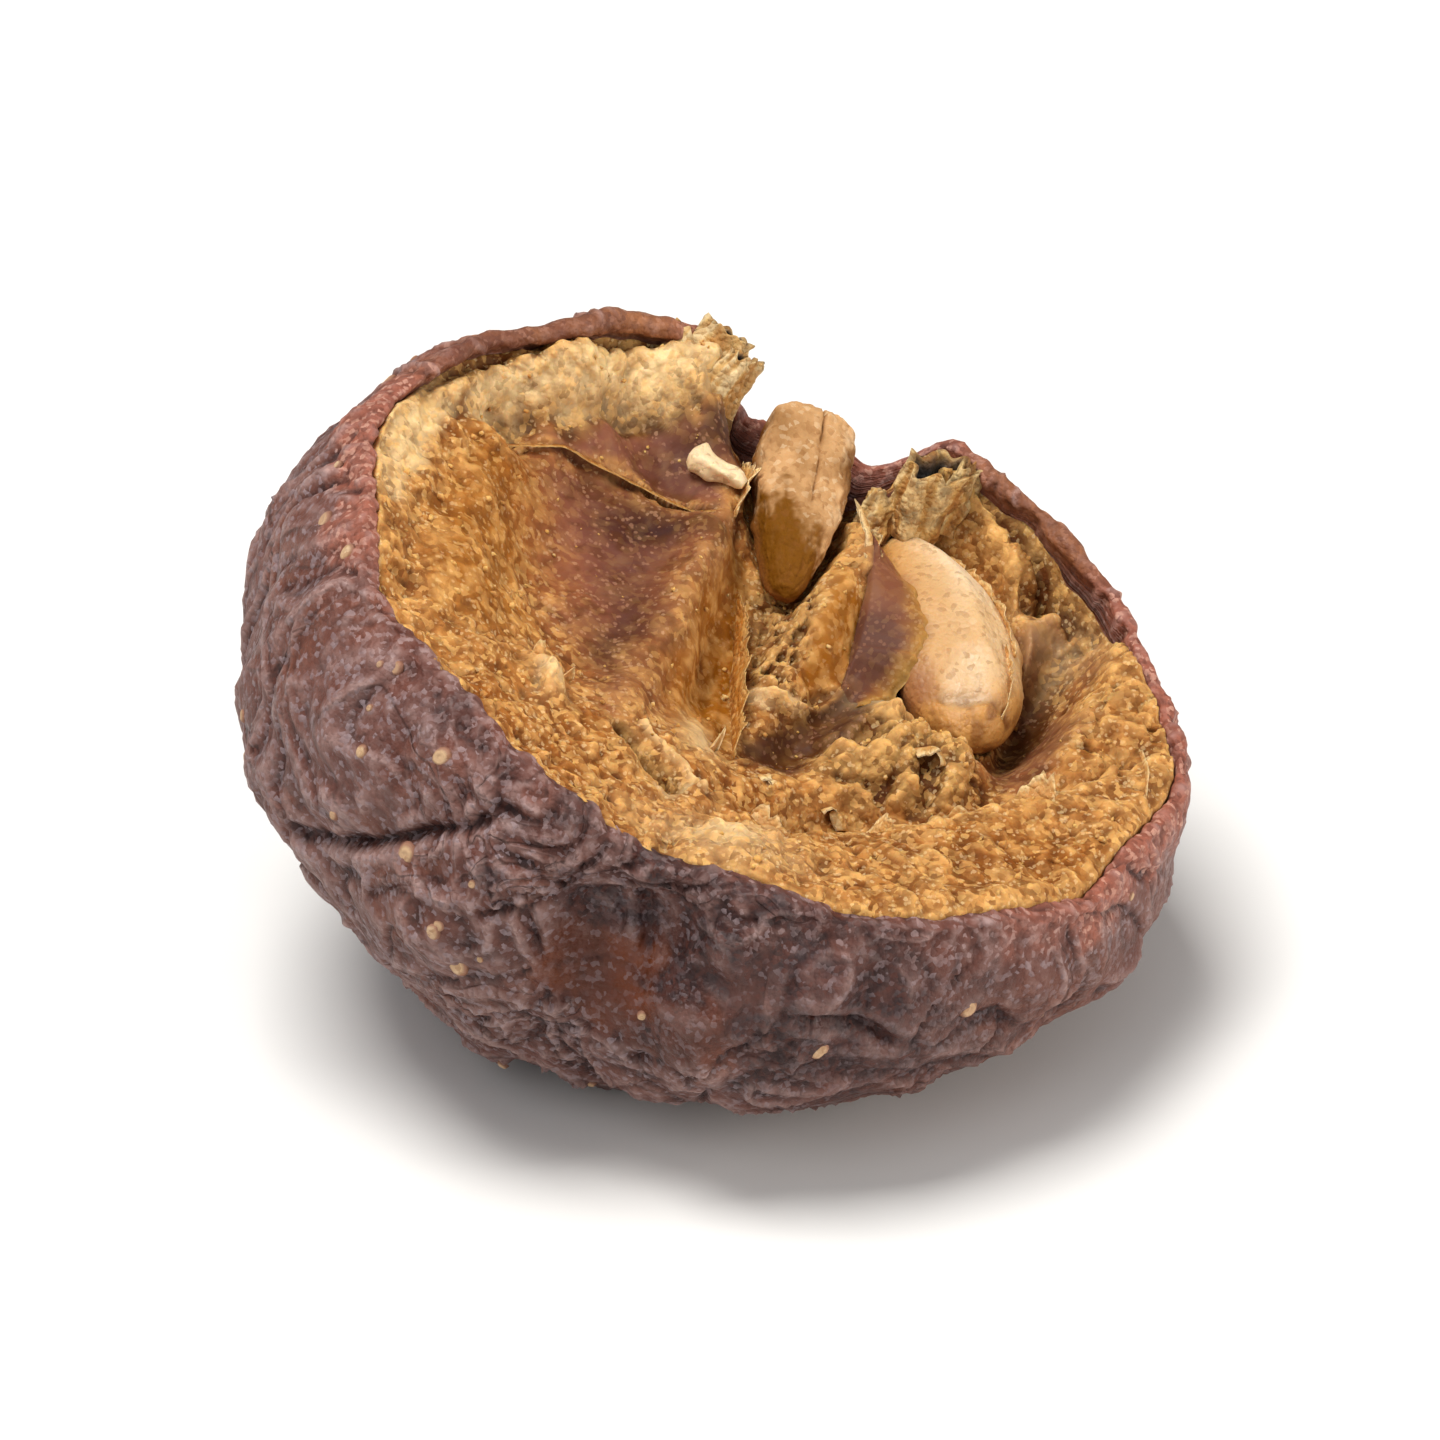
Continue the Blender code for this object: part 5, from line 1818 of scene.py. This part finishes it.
@dataclass
class StoneFilm(Piece):
    """The brown film that hangs from the core and drapes over the pale stone's left flank."""

    flesh: BerryFlesh
    left: tuple[Spot, ...] = FILM_LEFT
    right: tuple[Spot, ...] = FILM_RIGHT
    rows: int = 130
    columns: int = 70
    lift: float = 0.05
    thickness: float = 0.05

    name = "stone_film"
    finish = FleshFinish(
        "brown film",
        film_rose=(0.18, 0.06, 0.028),
        film_purple=(0.07, 0.022, 0.013),
        film_light=(0.3, 0.13, 0.065),
        clear=(0.42, 0.2, 0.04),
    )

    @staticmethod
    def _edge(knots: tuple[Spot, ...], down: Array) -> Array:
        """A smooth line through an edge's points."""
        places = np.linspace(0.0, 1.0, len(knots))
        line = np.stack([np.interp(down, places, [knot[k] for knot in knots]) for k in (0, 1)], -1)
        reach = len(down) // 12
        kernel = np.hanning(2 * reach + 1)
        kernel = kernel / kernel.sum()
        ends = 2.0 * line[:1] - line[reach:0:-1], 2.0 * line[-1:] - line[-2 : -reach - 2 : -1]
        long = np.concatenate([ends[0], line, ends[1]])
        return np.stack([np.convolve(long[:, k], kernel, "valid") for k in (0, 1)], -1)

    def fill(self, sheet: Sheet) -> None:
        """Adds the film's two sides and its edges."""
        down = np.linspace(0.0, 1.0, self.rows)
        share = np.linspace(0.0, 1.0, self.columns)[None, :]
        left, right = self._edge(self.left, down), self._edge(self.right, down)
        flat = left[:, None, :] * (1.0 - share[..., None]) + right[:, None, :] * share[..., None]
        ragged = rough(level(down * 22.0, 0.0 * down), (3, 0, 0))[:, None]
        flat = flat + (share**4 * 0.22 * ragged)[..., None] * np.array((1.0, 0.3))
        u, v = flat[..., 0], flat[..., 1]
        height = np.maximum(FACE.face(self.flesh.at(u, v))[..., 2], RIGHT_STONE.crown(u, v))
        taut = height[:, :1] * (1.0 - share) + height[:, -1:] * share + 0.08 * np.sin(share * math.pi)
        height = np.maximum(height, mix(taut, height, smooth(0.72, 0.95, down)[:, None]))
        height = np.maximum(blurred(height, 4, False), height) + self.lift
        sunk = 0.25 * smooth(0.12, 0.0, share) + 0.25 * smooth(0.06, 0.0, down)[:, None]
        sunk = sunk + 0.25 * smooth(0.9, 1.0, down)[:, None] * smooth(0.8, 0.5, share)
        wrinkle = 0.06 * rough(level(u / 0.7, v / 1.2), (1, 4, 0))
        top = spots_of(u, v, height + wrinkle - sunk - 0.17 * smooth(0.86, 1.0, share))
        rim = smooth(0.5, 1.0, share + 0.12 * ragged + 0.12 * rough(top / 0.7))
        masks = {
            "film": mix(1.0, 0.15, rim),
            "purple": mix(0.75, 0.0, rim) * smooth(-0.3, 0.3, rough(top / 1.5) + 0.15),
            "amber": rim,
            "crest": 0.35 * smooth(0.85, 1.0, share) + 0.0 * u,
        }
        upper = sheet.add(FACE.world(top), masks)
        under = sheet.add(FACE.world(top - np.array((0.0, 0.0, self.thickness))), masks)
        sheet.grid(upper, closed=False, flip=True)
        sheet.grid(under, closed=False)
        around = [np.concatenate([g[0, :-1], g[:-1, -1], g[-1, :0:-1], g[:0:-1, 0]]) for g in (upper, under)]
        sheet.grid(np.stack(around), flip=True)


@dataclass(frozen=True)
class Flap:
    """A thin torn flap: its feet on the face, how it leans, and how it is torn and bent."""

    feet: tuple[Spot, ...]
    lean: Point
    ragged: float = 0.35
    ripple: float = 0.12
    taper: float = 0.7
    bend: float = 0.0
    thickness: float = 0.08
    lift: float = -0.12
    step: float = 0.07
    across: int = 12

    def add(self, sheet: Sheet, flesh: BerryFlesh, seed: float) -> None:
        """Adds the flap as a closed thin solid, with its share of the way up as a mask.

        Args:
            sheet: Takes the flap.
            flesh: What it stands on.
            seed: Tells its raggedness from that of other flaps.
        """
        u, v = np.array(self.feet).T
        ground = np.maximum(FACE.face(flesh.at(u, v))[:, 2], RIGHT_STONE.crown(u, v)) + self.lift
        feet = spots_of(u, v, ground)
        run = np.concatenate([[0.0], np.cumsum(np.linalg.norm(np.diff(feet, axis=0), axis=1))])
        share = np.linspace(0.0, 1.0, max(6, int(run[-1] / self.step)))
        foot = [np.pad(np.interp(share * run[-1], run, feet[:, k]), 2, mode="edge") for k in range(3)]
        foot = np.stack([np.convolve(part, np.ones(5) / 5, "valid") for part in foot], -1)
        facing = unit(np.cross(unit(np.gradient(foot, axis=0)), np.array(self.lean)))
        place = level(share * run[-1], 0.0 * share)
        torn = rough(place / 0.5, (seed, 0.0, 0.0)) + 0.7 * rough(place / 0.17, (seed, 5.0, 0.0))
        tall = (1.0 - self.taper * np.abs(2.0 * share - 1.0) ** 2) * (1.0 + self.ragged * torn)
        up = np.linspace(0.0, 1.0, self.across)[:, None, None]
        point = foot[None] + up * tall[None, :, None] * np.array(self.lean)
        waves = rough(point / 0.8, (seed, 2.0, 7.0))[..., None]
        point = point + (self.ripple * up * waves + self.bend * up**2) * facing[None]
        thin = 0.5 * self.thickness * (1.0 - 0.65 * up) * facing[None]
        rings = np.concatenate([point + thin, (point - thin)[:, ::-1]], axis=1)
        sheet.closed_tube(FACE.world(rings), {"tip": up[..., 0] + 0.0 * rings[..., 0]})


@dataclass(frozen=True)
class TornFinish(Finish):
    """Torn flaps and dried sepals: streaked along their height, pale at the edge, with near-black painted
    shade inside the sleeves' mouths.
    """

    name: str = "torn edges"
    roughness: float = 0.6
    glow: float = 0.15
    glow_depth: float = 0.4
    bump: float = 0.9
    foot: Colour = (0.48, 0.2, 0.04)
    middle: Colour = (0.62, 0.32, 0.09)
    tip: Colour = (0.88, 0.62, 0.3)
    dark: Colour = (0.28, 0.11, 0.02)
    # Near-black painted shade inside the sleeves' mouths.
    inside: Colour = (0.012, 0.009, 0.008)
    streaks: float = 0.25

    def dress(self, net: Net, effects: Effects) -> dict[str, Socket]:
        """Colours from foot to edge with darker streaks."""
        broad = net.group(effects.mottle, Size=0.5, Low=0.42, High=0.62, Seed=2.0)["Patches"]
        grain = net.group(effects.grain, Size=0.16)
        tip = net.mask("tip")
        colour = net.blend(net.band(tip, 0.0, 0.6), self.foot, self.middle)
        colour = net.blend(net.band(tip, 0.6, 1.0), colour, self.tip)
        colour = net.blend(net.times(broad, self.streaks), colour, self.dark)
        colour = net.blend(net.band(grain["Shade"], 0.65, 1.0, 0.0, 0.5), colour, self.tip)
        colour = net.blend(net.band(grain["Shade"], 0.35, 0.0, 0.0, 0.5), colour, self.foot)
        return {"Base Color": net.blend(net.mask("inside"), colour, self.inside), "Height": grain["Height"]}


CLEAR = TornFinish(
    "clear partition", 0.45, foot=(0.26, 0.08, 0.006), middle=(0.4, 0.15, 0.015), tip=(0.66, 0.38, 0.12)
)
PALE = TornFinish()


@dataclass
class Torn(Piece):
    """Flaps of torn flesh or film."""

    name: str
    finish: Finish
    flesh: BerryFlesh
    seed: float
    flaps: tuple[Flap, ...]

    def fill(self, sheet: Sheet) -> None:
        """Adds the flaps."""
        for count, flap in enumerate(self.flaps):
            flap.add(sheet, self.flesh, self.seed + 1.37 * count)


EDGE_FLAPS = (Flap(MEMBRANE.points, (0.06, -0.2, 0.1), 0.6, 0.05, 0.7, 0.0, 0.06, -0.03),)
PARTITION_FEET = ((-1.1, 4.3), (-0.5, 2.6), (0.0, 0.9), (0.5, -0.8), (0.9, -2.3))
PARTITION_FLAPS = (Flap(PARTITION_FEET, (0.1, 0.05, 1.0), 0.45, 0.2, 0.75),)
STONE_FEET = ((-2.7, 8.9), (-2.5, 7.9), (-2.35, 6.9), (-2.25, 6.1))
THREAD_FEET = ((11.25, 0.4), (10.95, 1.5), (10.6, 2.8))
FLAKE_FLAPS = (
    Flap(((-5.3, -4.9), (-4.95, -4.75)), (-0.1, 0.35, 0.35), 0.5, 0.1, 0.5, 0.1, 0.14),
    Flap(((-4.35, -4.6), (-4.05, -4.5)), (0.05, 0.3, 0.3), 0.5, 0.1, 0.5, 0.1, 0.12),
    Flap(((0.1, -2.9), (0.3, -2.8)), (0.0, 0.8, 0.5), 0.4, 0.1, 0.8, 0.1, 0.07),
    Flap(((4.6, -4.4), (5.5, -4.5)), (0.1, 0.5, 0.55), 0.5, 0.2, 0.6, 0.1, 0.16),
    Flap(((8.1, -1.5), (9.1, -1.0)), (-0.2, 0.5, 0.5), 0.6, 0.2, 0.6, 0.1, 0.12),
    Flap(((1.9, -5.9), (2.9, -5.9)), (0.0, 0.45, 0.3), 0.6, 0.2, 0.6, 0.1, 0.1),
    Flap(((-0.3, -7.0), (0.7, -6.4)), (-0.1, 0.4, 0.35), 0.6, 0.2, 0.6, 0.1, 0.12),
    Flap(((6.3, -3.3), (7.2, -2.4)), (-0.2, 0.35, 0.35), 0.7, 0.2, 0.6, 0.1, 0.1),
    Flap(STONE_FEET, (0.22, 0.0, 0.55), 0.7, 0.15, 0.5, 0.1, 0.1),
    Flap(THREAD_FEET, (0.0, 0.02, 0.16), 0.3, 0.05, 0.2, 0.0, 0.07, -0.03),
)
HUSK_FEET = ((3.0, 9.0), (4.3, 8.2), (5.5, 6.9), (6.4, 5.6))
LOWER_HUSK_FEET = ((6.0, 5.6), (6.4, 4.8), (6.75, 3.8), (6.9, 2.8))
HUSK_FLAPS = (
    Flap(HUSK_FEET, (0.14, 0.05, 0.34), 0.7, 0.15, 0.6, 0.1, 0.07, -0.06),
    Flap(LOWER_HUSK_FEET, (0.06, 0.02, 0.3), 0.9, 0.15, 0.6, 0.1, 0.06, -0.08),
    Flap(((1.6, -3.1), (2.0, -2.6), (2.5, -2.9)), (-0.1, -0.3, 0.5), 0.5, 0.2, 0.4, 0.3, 0.07),
    Flap(((3.6, -2.6), (4.1, -2.0), (4.6, -2.4)), (-0.2, -0.35, 0.5), 0.5, 0.2, 0.4, 0.3, 0.07),
    Flap(((5.0, 0.2), (5.6, 0.6), (6.1, 0.1)), (0.1, -0.35, 0.5), 0.5, 0.2, 0.4, 0.3, 0.07),
)
LACE_FEET = ((0.9, 9.2), (1.1, 8.0), (1.5, 6.9), (1.9, 6.0))
LACE_FLAPS = (
    Flap(LACE_FEET, (-0.25, 0.1, 0.42), 1.3, 0.4, 0.5, 0.2, 0.05, -0.05),
    Flap(((1.2, 8.6), (1.5, 7.4), (2.0, 6.4)), (0.2, 0.05, 0.3), 1.4, 0.4, 0.5, 0.2, 0.05, -0.05),
)


@dataclass
class Splinter(Piece):
    """The short cream splinter that lies on the film."""

    start: Point = (-4.1, 7.25, -1.55)
    end: Point = (-2.4, 6.95, -1.35)
    width: float = 0.36
    depth: float = 0.26
    rings: int = 30
    sides: int = 24

    name = "splinter"
    finish = StoneFinish("splinter", 0.55, ground=(0.82, 0.6, 0.33))
    slot = Slot.WOODY

    def fill(self, sheet: Sheet) -> None:
        """Adds a rough square rod, thicker at its start, with blunt ends."""
        along = np.linspace(0.0, 1.0, self.rings)[:, None]
        turn = full_turn(self.sides)[None, :]
        start, run = np.array(self.start), np.array(self.end) - np.array(self.start)
        side = unit(np.cross((0.0, 0.0, 1.0), unit(run)))
        up = np.cross(unit(run), side)
        blunt = np.minimum(1.0, 0.55 + 4.0 * np.minimum(along, 1.0 - along)) * (1.2 - 0.45 * along)
        out = blunt / np.maximum(np.abs(np.cos(turn)), np.abs(np.sin(turn))) ** 0.7
        middle = start + along[..., None] * run
        spot = middle + (out * np.cos(turn) * self.width)[..., None] * side
        spot = spot + (out * np.sin(turn) * self.depth)[..., None] * up
        spot = spot + 0.16 * rough(spot / 0.45, (1, 1, 3))[..., None] * unit(spot - middle)
        # Painted highlight along the rod's upper side.
        crest = 0.5 * smooth(0.2, 0.6, np.sin(turn) + 0.0 * along)
        rows = sheet.add(FACE.world(spot), {"crest": crest})
        sheet.grid(rows, flip=True)
        sheet.cap(rows[0], FACE.world(spot[0].mean(0)))
        sheet.cap(rows[-1], FACE.world(spot[-1].mean(0)), flip=True)


@dataclass(frozen=True)
class Sleeve:
    """A crumpled hollow sleeve of dried calyx, from its foot to its open mouth."""

    foot: Point
    mouth: Point
    foot_size: Spot
    mouth_size: Spot
    turn: float = 0.0
    hole: float = 0.45
    thickness: float = 0.14
    crumple: float = 0.22
    ragged: float = 0.14
    seed: float = 0.0
    sides: int = 96
    rings: int = 44
    inner_rings: int = 18

    def add(self, sheet: Sheet) -> None:
        """Adds the sleeve as a closed solid with a hollow at its mouth."""
        foot, run = np.array(self.foot), np.array(self.mouth) - np.array(self.foot)
        axis = unit(run)
        flat = unit(np.cross((0.0, 0.0, 1.0), axis))
        across = math.cos(self.turn) * flat + math.sin(self.turn) * np.cross(axis, flat)
        up = np.cross(axis, across)
        outer = np.linspace(0.0, 1.0, self.rings)
        inner = np.linspace(1.0, 1.0 - self.hole, self.inner_rings)[1:]
        share = np.concatenate([outer, inner])[:, None]
        within = np.concatenate([0.0 * outer, np.linspace(0.4, 1.0, self.inner_rings)[1:]])[:, None]
        angle = full_turn(self.sides)[None, :]
        around, rise = circle(angle + 0.0 * share), share[..., None]
        pleats = around * np.array((2.2, 2.2, 1.0)) + rise * np.array((0.0, 0.0, 0.9))
        pleats = rough(pleats, (self.seed, 2.0, 5.0))
        creased = rough(around * 1.4 + rise * np.array((0.3, 0.5, 3.2)), (1.0, self.seed, 8.0))
        wide = 1.0 + self.crumple * (1.6 * pleats + 1.2 * creased)
        closing = mix(1.0, 0.75, smooth(0.2, 1.0, within))
        torn = self.ragged * rough(around * 2.4, (4.0, self.seed, 1.0)) * share**3
        spot = foot + (share + torn)[..., None] * run
        sizes = zip(self.foot_size, self.mouth_size, (np.cos(angle), np.sin(angle)), (across, up))
        for first, last, way, direction in sizes:
            half = (mix(first, last, share) * wide - self.thickness * smooth(0.0, 0.5, within)) * closing
            spot = spot + (np.maximum(half, 0.03) * way)[..., None] * direction
        fine = 0.05 * rough(spot / 0.3, (self.seed, 0.0, 0.0)) + 0.03 * rough(spot / 0.13)
        spot = spot + (fine * (1.0 - within))[..., None] * unit(spot - foot - rise * run)
        masks = {
            "tip": whole(share * 0.7 + 1.6 * pleats) * (1.0 - within),
            # Painted shade inside the mouth.
            "inside": smooth(0.3, 0.6, within) + 0.0 * angle,
        }
        sheet.closed_tube(FACE.world(spot), masks)


@dataclass
class Calyx(Piece):
    """Dried calyx beside the notch, of crumpled sleeves."""

    name: str
    finish: Finish
    sleeves: tuple[Sleeve, ...]

    def fill(self, sheet: Sheet) -> None:
        """Adds the sleeves."""
        for sleeve in self.sleeves:
            sleeve.add(sheet)


LEFT_SLEEVES = (
    Sleeve((-5.0, 9.7, -1.2), (-4.7, 10.6, 0.35), (0.85, 0.4), (0.75, 0.3), 0.5, 0.3, seed=1.0),
    Sleeve((-4.2, 9.5, -1.4), (-4.0, 10.3, 0.1), (0.7, 0.35), (0.6, 0.25), 0.9, 0.3, seed=2.3),
    Sleeve((-5.8, 9.5, -1.3), (-5.7, 10.2, 0.1), (0.7, 0.4), (0.6, 0.25), 0.2, 0.3, seed=3.1),
)
RIGHT_SLEEVES = (
    Sleeve((2.4, 9.5, -1.9), (2.2, 9.8, 0.3), (0.9, 0.65), (1.15, 0.75), 0.3, 0.6, crumple=0.16, seed=5.5),
    Sleeve((3.0, 9.7, -1.6), (3.0, 10.6, 0.3), (0.5, 0.4), (0.45, 0.3), 0.8, 0.4, seed=6.6),
    Sleeve((1.3, 8.6, -2.2), (1.2, 9.4, -1.1), (0.55, 0.4), (0.45, 0.25), 0.0, 0.4, seed=7.9),
)
GREYISH = TornFinish(
    "dried calyx",
    0.7,
    glow=0.05,
    foot=(0.46, 0.22, 0.05),
    middle=(0.62, 0.38, 0.13),
    tip=(0.72, 0.54, 0.28),
    dark=(0.2, 0.1, 0.035),
    streaks=0.4,
)
OCHRE = TornFinish(
    "ochre calyx",
    0.7,
    glow=0.05,
    foot=(0.36, 0.15, 0.025),
    middle=(0.54, 0.3, 0.08),
    tip=(0.72, 0.5, 0.22),
    dark=(0.09, 0.045, 0.014),
    streaks=0.6,
)


MARKED_FRONT = ((-132.0, 0.02), (-118.0, 0.05), (-108.0, 0.22), (-104.0, 0.25), (-116.0, 0.18))


@dataclass
class Lenticels(Piece):
    """Pale corky dots on the skin, by their angle in degrees and their share of the way down."""

    skin: BerrySkin
    marked: tuple[Spot, ...] = (
        *MARKED_FRONT, (-152.0, 0.02), (-42.0, 0.1), (-160.0, 0.05), (170.0, 0.03), (-60.0, 0.16)
    )
    others: int = 44
    least_height: float = 0.6
    sides: int = 14
    seed: int = 11
    profile: tuple[Spot, ...] = ((0.2, 0.04), (0.6, 0.05), (0.9, 0.015), (1.15, -0.08))
    warmth: tuple[float, ...] = (0.3, 0.15, 0.85, 1.0)

    name = "lenticels"
    finish = StoneFinish("lenticels", 0.7, glow=0.0, ground=(0.6, 0.4, 0.22), warm=(0.25, 0.11, 0.07))

    def fill(self, sheet: Sheet) -> None:
        """Adds the marked dots and the others, apart from those at the floor."""
        draw = np.random.default_rng(self.seed)
        turns, drops = zip(*self.marked)
        angle = np.radians([*turns, *draw.uniform(-180.0, 180.0, self.others)])
        drop = np.array([*drops, *draw.uniform(0.03, 0.7, self.others) ** 1.1])
        size = [*draw.uniform(0.2, 0.3, len(self.marked)), *draw.uniform(0.1, 0.2, self.others)]
        turn = full_turn(self.sides)
        for place, out, radius in zip(*self.skin.at(angle, drop), size):
            if place[2] <= self.least_height:
                continue
            side = unit(np.cross(out, (0.3, 0.9, 0.1)))
            up = np.cross(out, side)
            long = draw.uniform(1.0, 1.3)
            ring = spots_of(np.cos(turn), np.sin(turn), radius * 50.0 + 0.0 * turn)
            wobble = 1.0 + 0.08 * rough(ring)
            rings = []
            for share, rise in self.profile:
                flat = radius * share * wobble
                spot = place + (flat * np.cos(turn))[:, None] * side * long
                rings.append(spot + (flat * np.sin(turn))[:, None] * up + rise * out)
            rows = sheet.add(np.stack(rings), {"warm": np.array(self.warmth)[:, None]})
            sheet.grid(rows)
            sheet.cap(rows[0], place + 0.03 * out, flip=True)
            sheet.cap(rows[-1], place - 0.12 * out)


@dataclass
class Grains(Piece):
    """Loose grains of dried flesh on the cut face."""

    flesh: BerryFlesh
    count: int = 330
    seed: int = 7

    name = "loose_grains"
    finish = FleshFinish("loose grains", amber=(0.56, 0.24, 0.055), ochre=(0.68, 0.36, 0.11))

    @staticmethod
    def _ball() -> tuple[Array, list[tuple[int, ...]]]:
        """The corners of a ball of twenty triangles, and its faces."""
        golden = (1.0 + math.sqrt(5.0)) / 2.0
        corners = [(0, a, b * golden) for a in (-1, 1) for b in (-1, 1)]
        ball = unit(np.array([np.roll(corner, k) for k in range(3) for corner in corners], dtype=float))
        faces = []
        for face in combinations(range(12), 3):
            a, b, c = ball[list(face)]
            if max(math.dist(a, b), math.dist(b, c), math.dist(a, c)) < 1.1:
                faces.append(face if np.dot(np.cross(b - a, c - a), a) > 0 else face[::-1])
        return ball, faces

    def fill(self, sheet: Sheet) -> None:
        """Adds the grains."""
        draw = np.random.default_rng(self.seed)
        radius = 11.2 * np.sqrt(draw.uniform(0.0, 1.0, self.count))
        angle = draw.uniform(-math.pi, math.pi, self.count)
        u, v = radius * np.cos(angle), radius * np.sin(angle)
        size = draw.uniform(0.04, 0.12, self.count) * mix(1.0, 0.45, self.flesh.relief.film(u, v))
        ball, faces = self._ball()
        for place, wide in zip(FACE.face(self.flesh.at(u, v)), size):
            shape = ball * draw.uniform(0.6, 1.25, (12, 1)) * draw.uniform(0.7, 1.4, 3)
            lifted = place + np.array((0.0, 0.0, 0.15 * wide)) + shape * wide
            numbers = sheet.add(FACE.world(lifted), {"crest": np.full(12, draw.uniform(0.0, 0.6))})
            sheet.keep(numbers[np.array(faces)])


# Setting


@dataclass
class Studio:
    """The floor, the soft light and the camera at the photograph's angle."""

    elevation: float = math.radians(30.0)
    distance: float = 0.42
    lens: float = 385.0
    aim: Point = (0.0, 0.0, 8.2)
    floor_size: float = 0.9
    floor_colour: Colour = (0.78, 0.77, 0.75)

    def _floor(self) -> None:
        """A pale plain floor."""
        mesh = bpy.data.meshes.new("floor")
        half = self.floor_size / 2
        corners = [(-half, -half, 0.0), (half, -half, 0.0), (half, half, 0.0), (-half, half, 0.0)]
        mesh.from_pydata(corners, [], [(0, 1, 2, 3)])
        made = bpy.data.materials.new("pale floor")
        made.use_nodes = True
        shader = made.node_tree.nodes["Principled BSDF"]
        shader.inputs["Base Color"].default_value = (*self.floor_colour, 1.0)
        shader.inputs["Roughness"].default_value = 0.8
        mesh.materials.append(made)
        floor = bpy.data.objects.new("floor", mesh)
        bpy.context.scene.collection.objects.link(floor)

    def _lamp(self, name: str, place: Point, size: float, power: float, tint: Colour) -> None:
        """A soft square lamp that faces the berry."""
        data = bpy.data.lights.new(name, "AREA")
        data.size, data.energy, data.color = size, power, tint
        lamp = bpy.data.objects.new(name, data)
        lamp.location = place
        aim = Vector(self.aim) * MM - Vector(place)
        lamp.rotation_euler = aim.to_track_quat("-Z", "Y").to_euler()
        bpy.context.scene.collection.objects.link(lamp)

    def _camera(self) -> None:
        """The camera, looking along +Y and down."""
        data = bpy.data.cameras.new("camera")
        data.lens = self.lens
        camera = bpy.data.objects.new("camera", data)
        back = Vector((0.0, -math.cos(self.elevation), math.sin(self.elevation)))
        camera.location = Vector(self.aim) * MM + back * self.distance
        camera.rotation_euler = (-back).to_track_quat("-Z", "Y").to_euler()
        data.clip_start, data.clip_end = 0.01, 10.0
        bpy.context.scene.collection.objects.link(camera)
        bpy.context.scene.camera = camera

    def build(self) -> None:
        """Sets up the floor, light and camera."""
        self._floor()
        self._lamp("window", (-0.1, -0.03, 0.41), 0.2, 2.0, (1.0, 0.985, 0.96))
        self._lamp("fill", (-0.14, -0.34, 0.3), 0.3, 0.5, (0.97, 0.98, 1.0))
        self._lamp("side", (0.36, -0.1, 0.1), 0.2, 0.9, (1.0, 0.93, 0.86))
        world = bpy.data.worlds.new("studio")
        world.use_nodes = True
        ground = world.node_tree.nodes["Background"]
        ground.inputs[0].default_value = (0.93, 0.96, 1.0, 1.0)
        ground.inputs[1].default_value = 0.3
        bpy.context.scene.world = world
        bpy.context.scene.view_settings.view_transform = "Standard"
        self._camera()
        log.info("studio: floor, three lamps and camera")


def main() -> None:
    """Builds the pieces in order."""
    logging.basicConfig(level=logging.INFO, format="%(name)s %(message)s")
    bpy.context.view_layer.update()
    Studio().build()
    skin, flesh = BerrySkin(), BerryFlesh()
    pieces = (
        skin,
        flesh,
        StoneFilm(flesh),
        Torn("dish_edge", CLEAR, flesh, 3.1, EDGE_FLAPS),
        Torn("partition", CLEAR, flesh, 5.2, PARTITION_FLAPS),
        Torn("flesh_flakes", PALE, flesh, 7.4, FLAKE_FLAPS),
        Torn("husks", PALE, flesh, 9.9, HUSK_FLAPS),
        Torn("frayed_film", PALE, flesh, 12.3, LACE_FLAPS),
        Splinter(),
        Calyx("calyx_left", GREYISH, LEFT_SLEEVES),
        Calyx("calyx_right", OCHRE, RIGHT_SLEEVES),
        Lenticels(skin),
        Grains(flesh),
        CentreStone(),
        RightStone(),
    )
    effects = Effects.made()
    for piece in pieces:
        piece.build(effects)


if __name__ == "__main__":
    main()
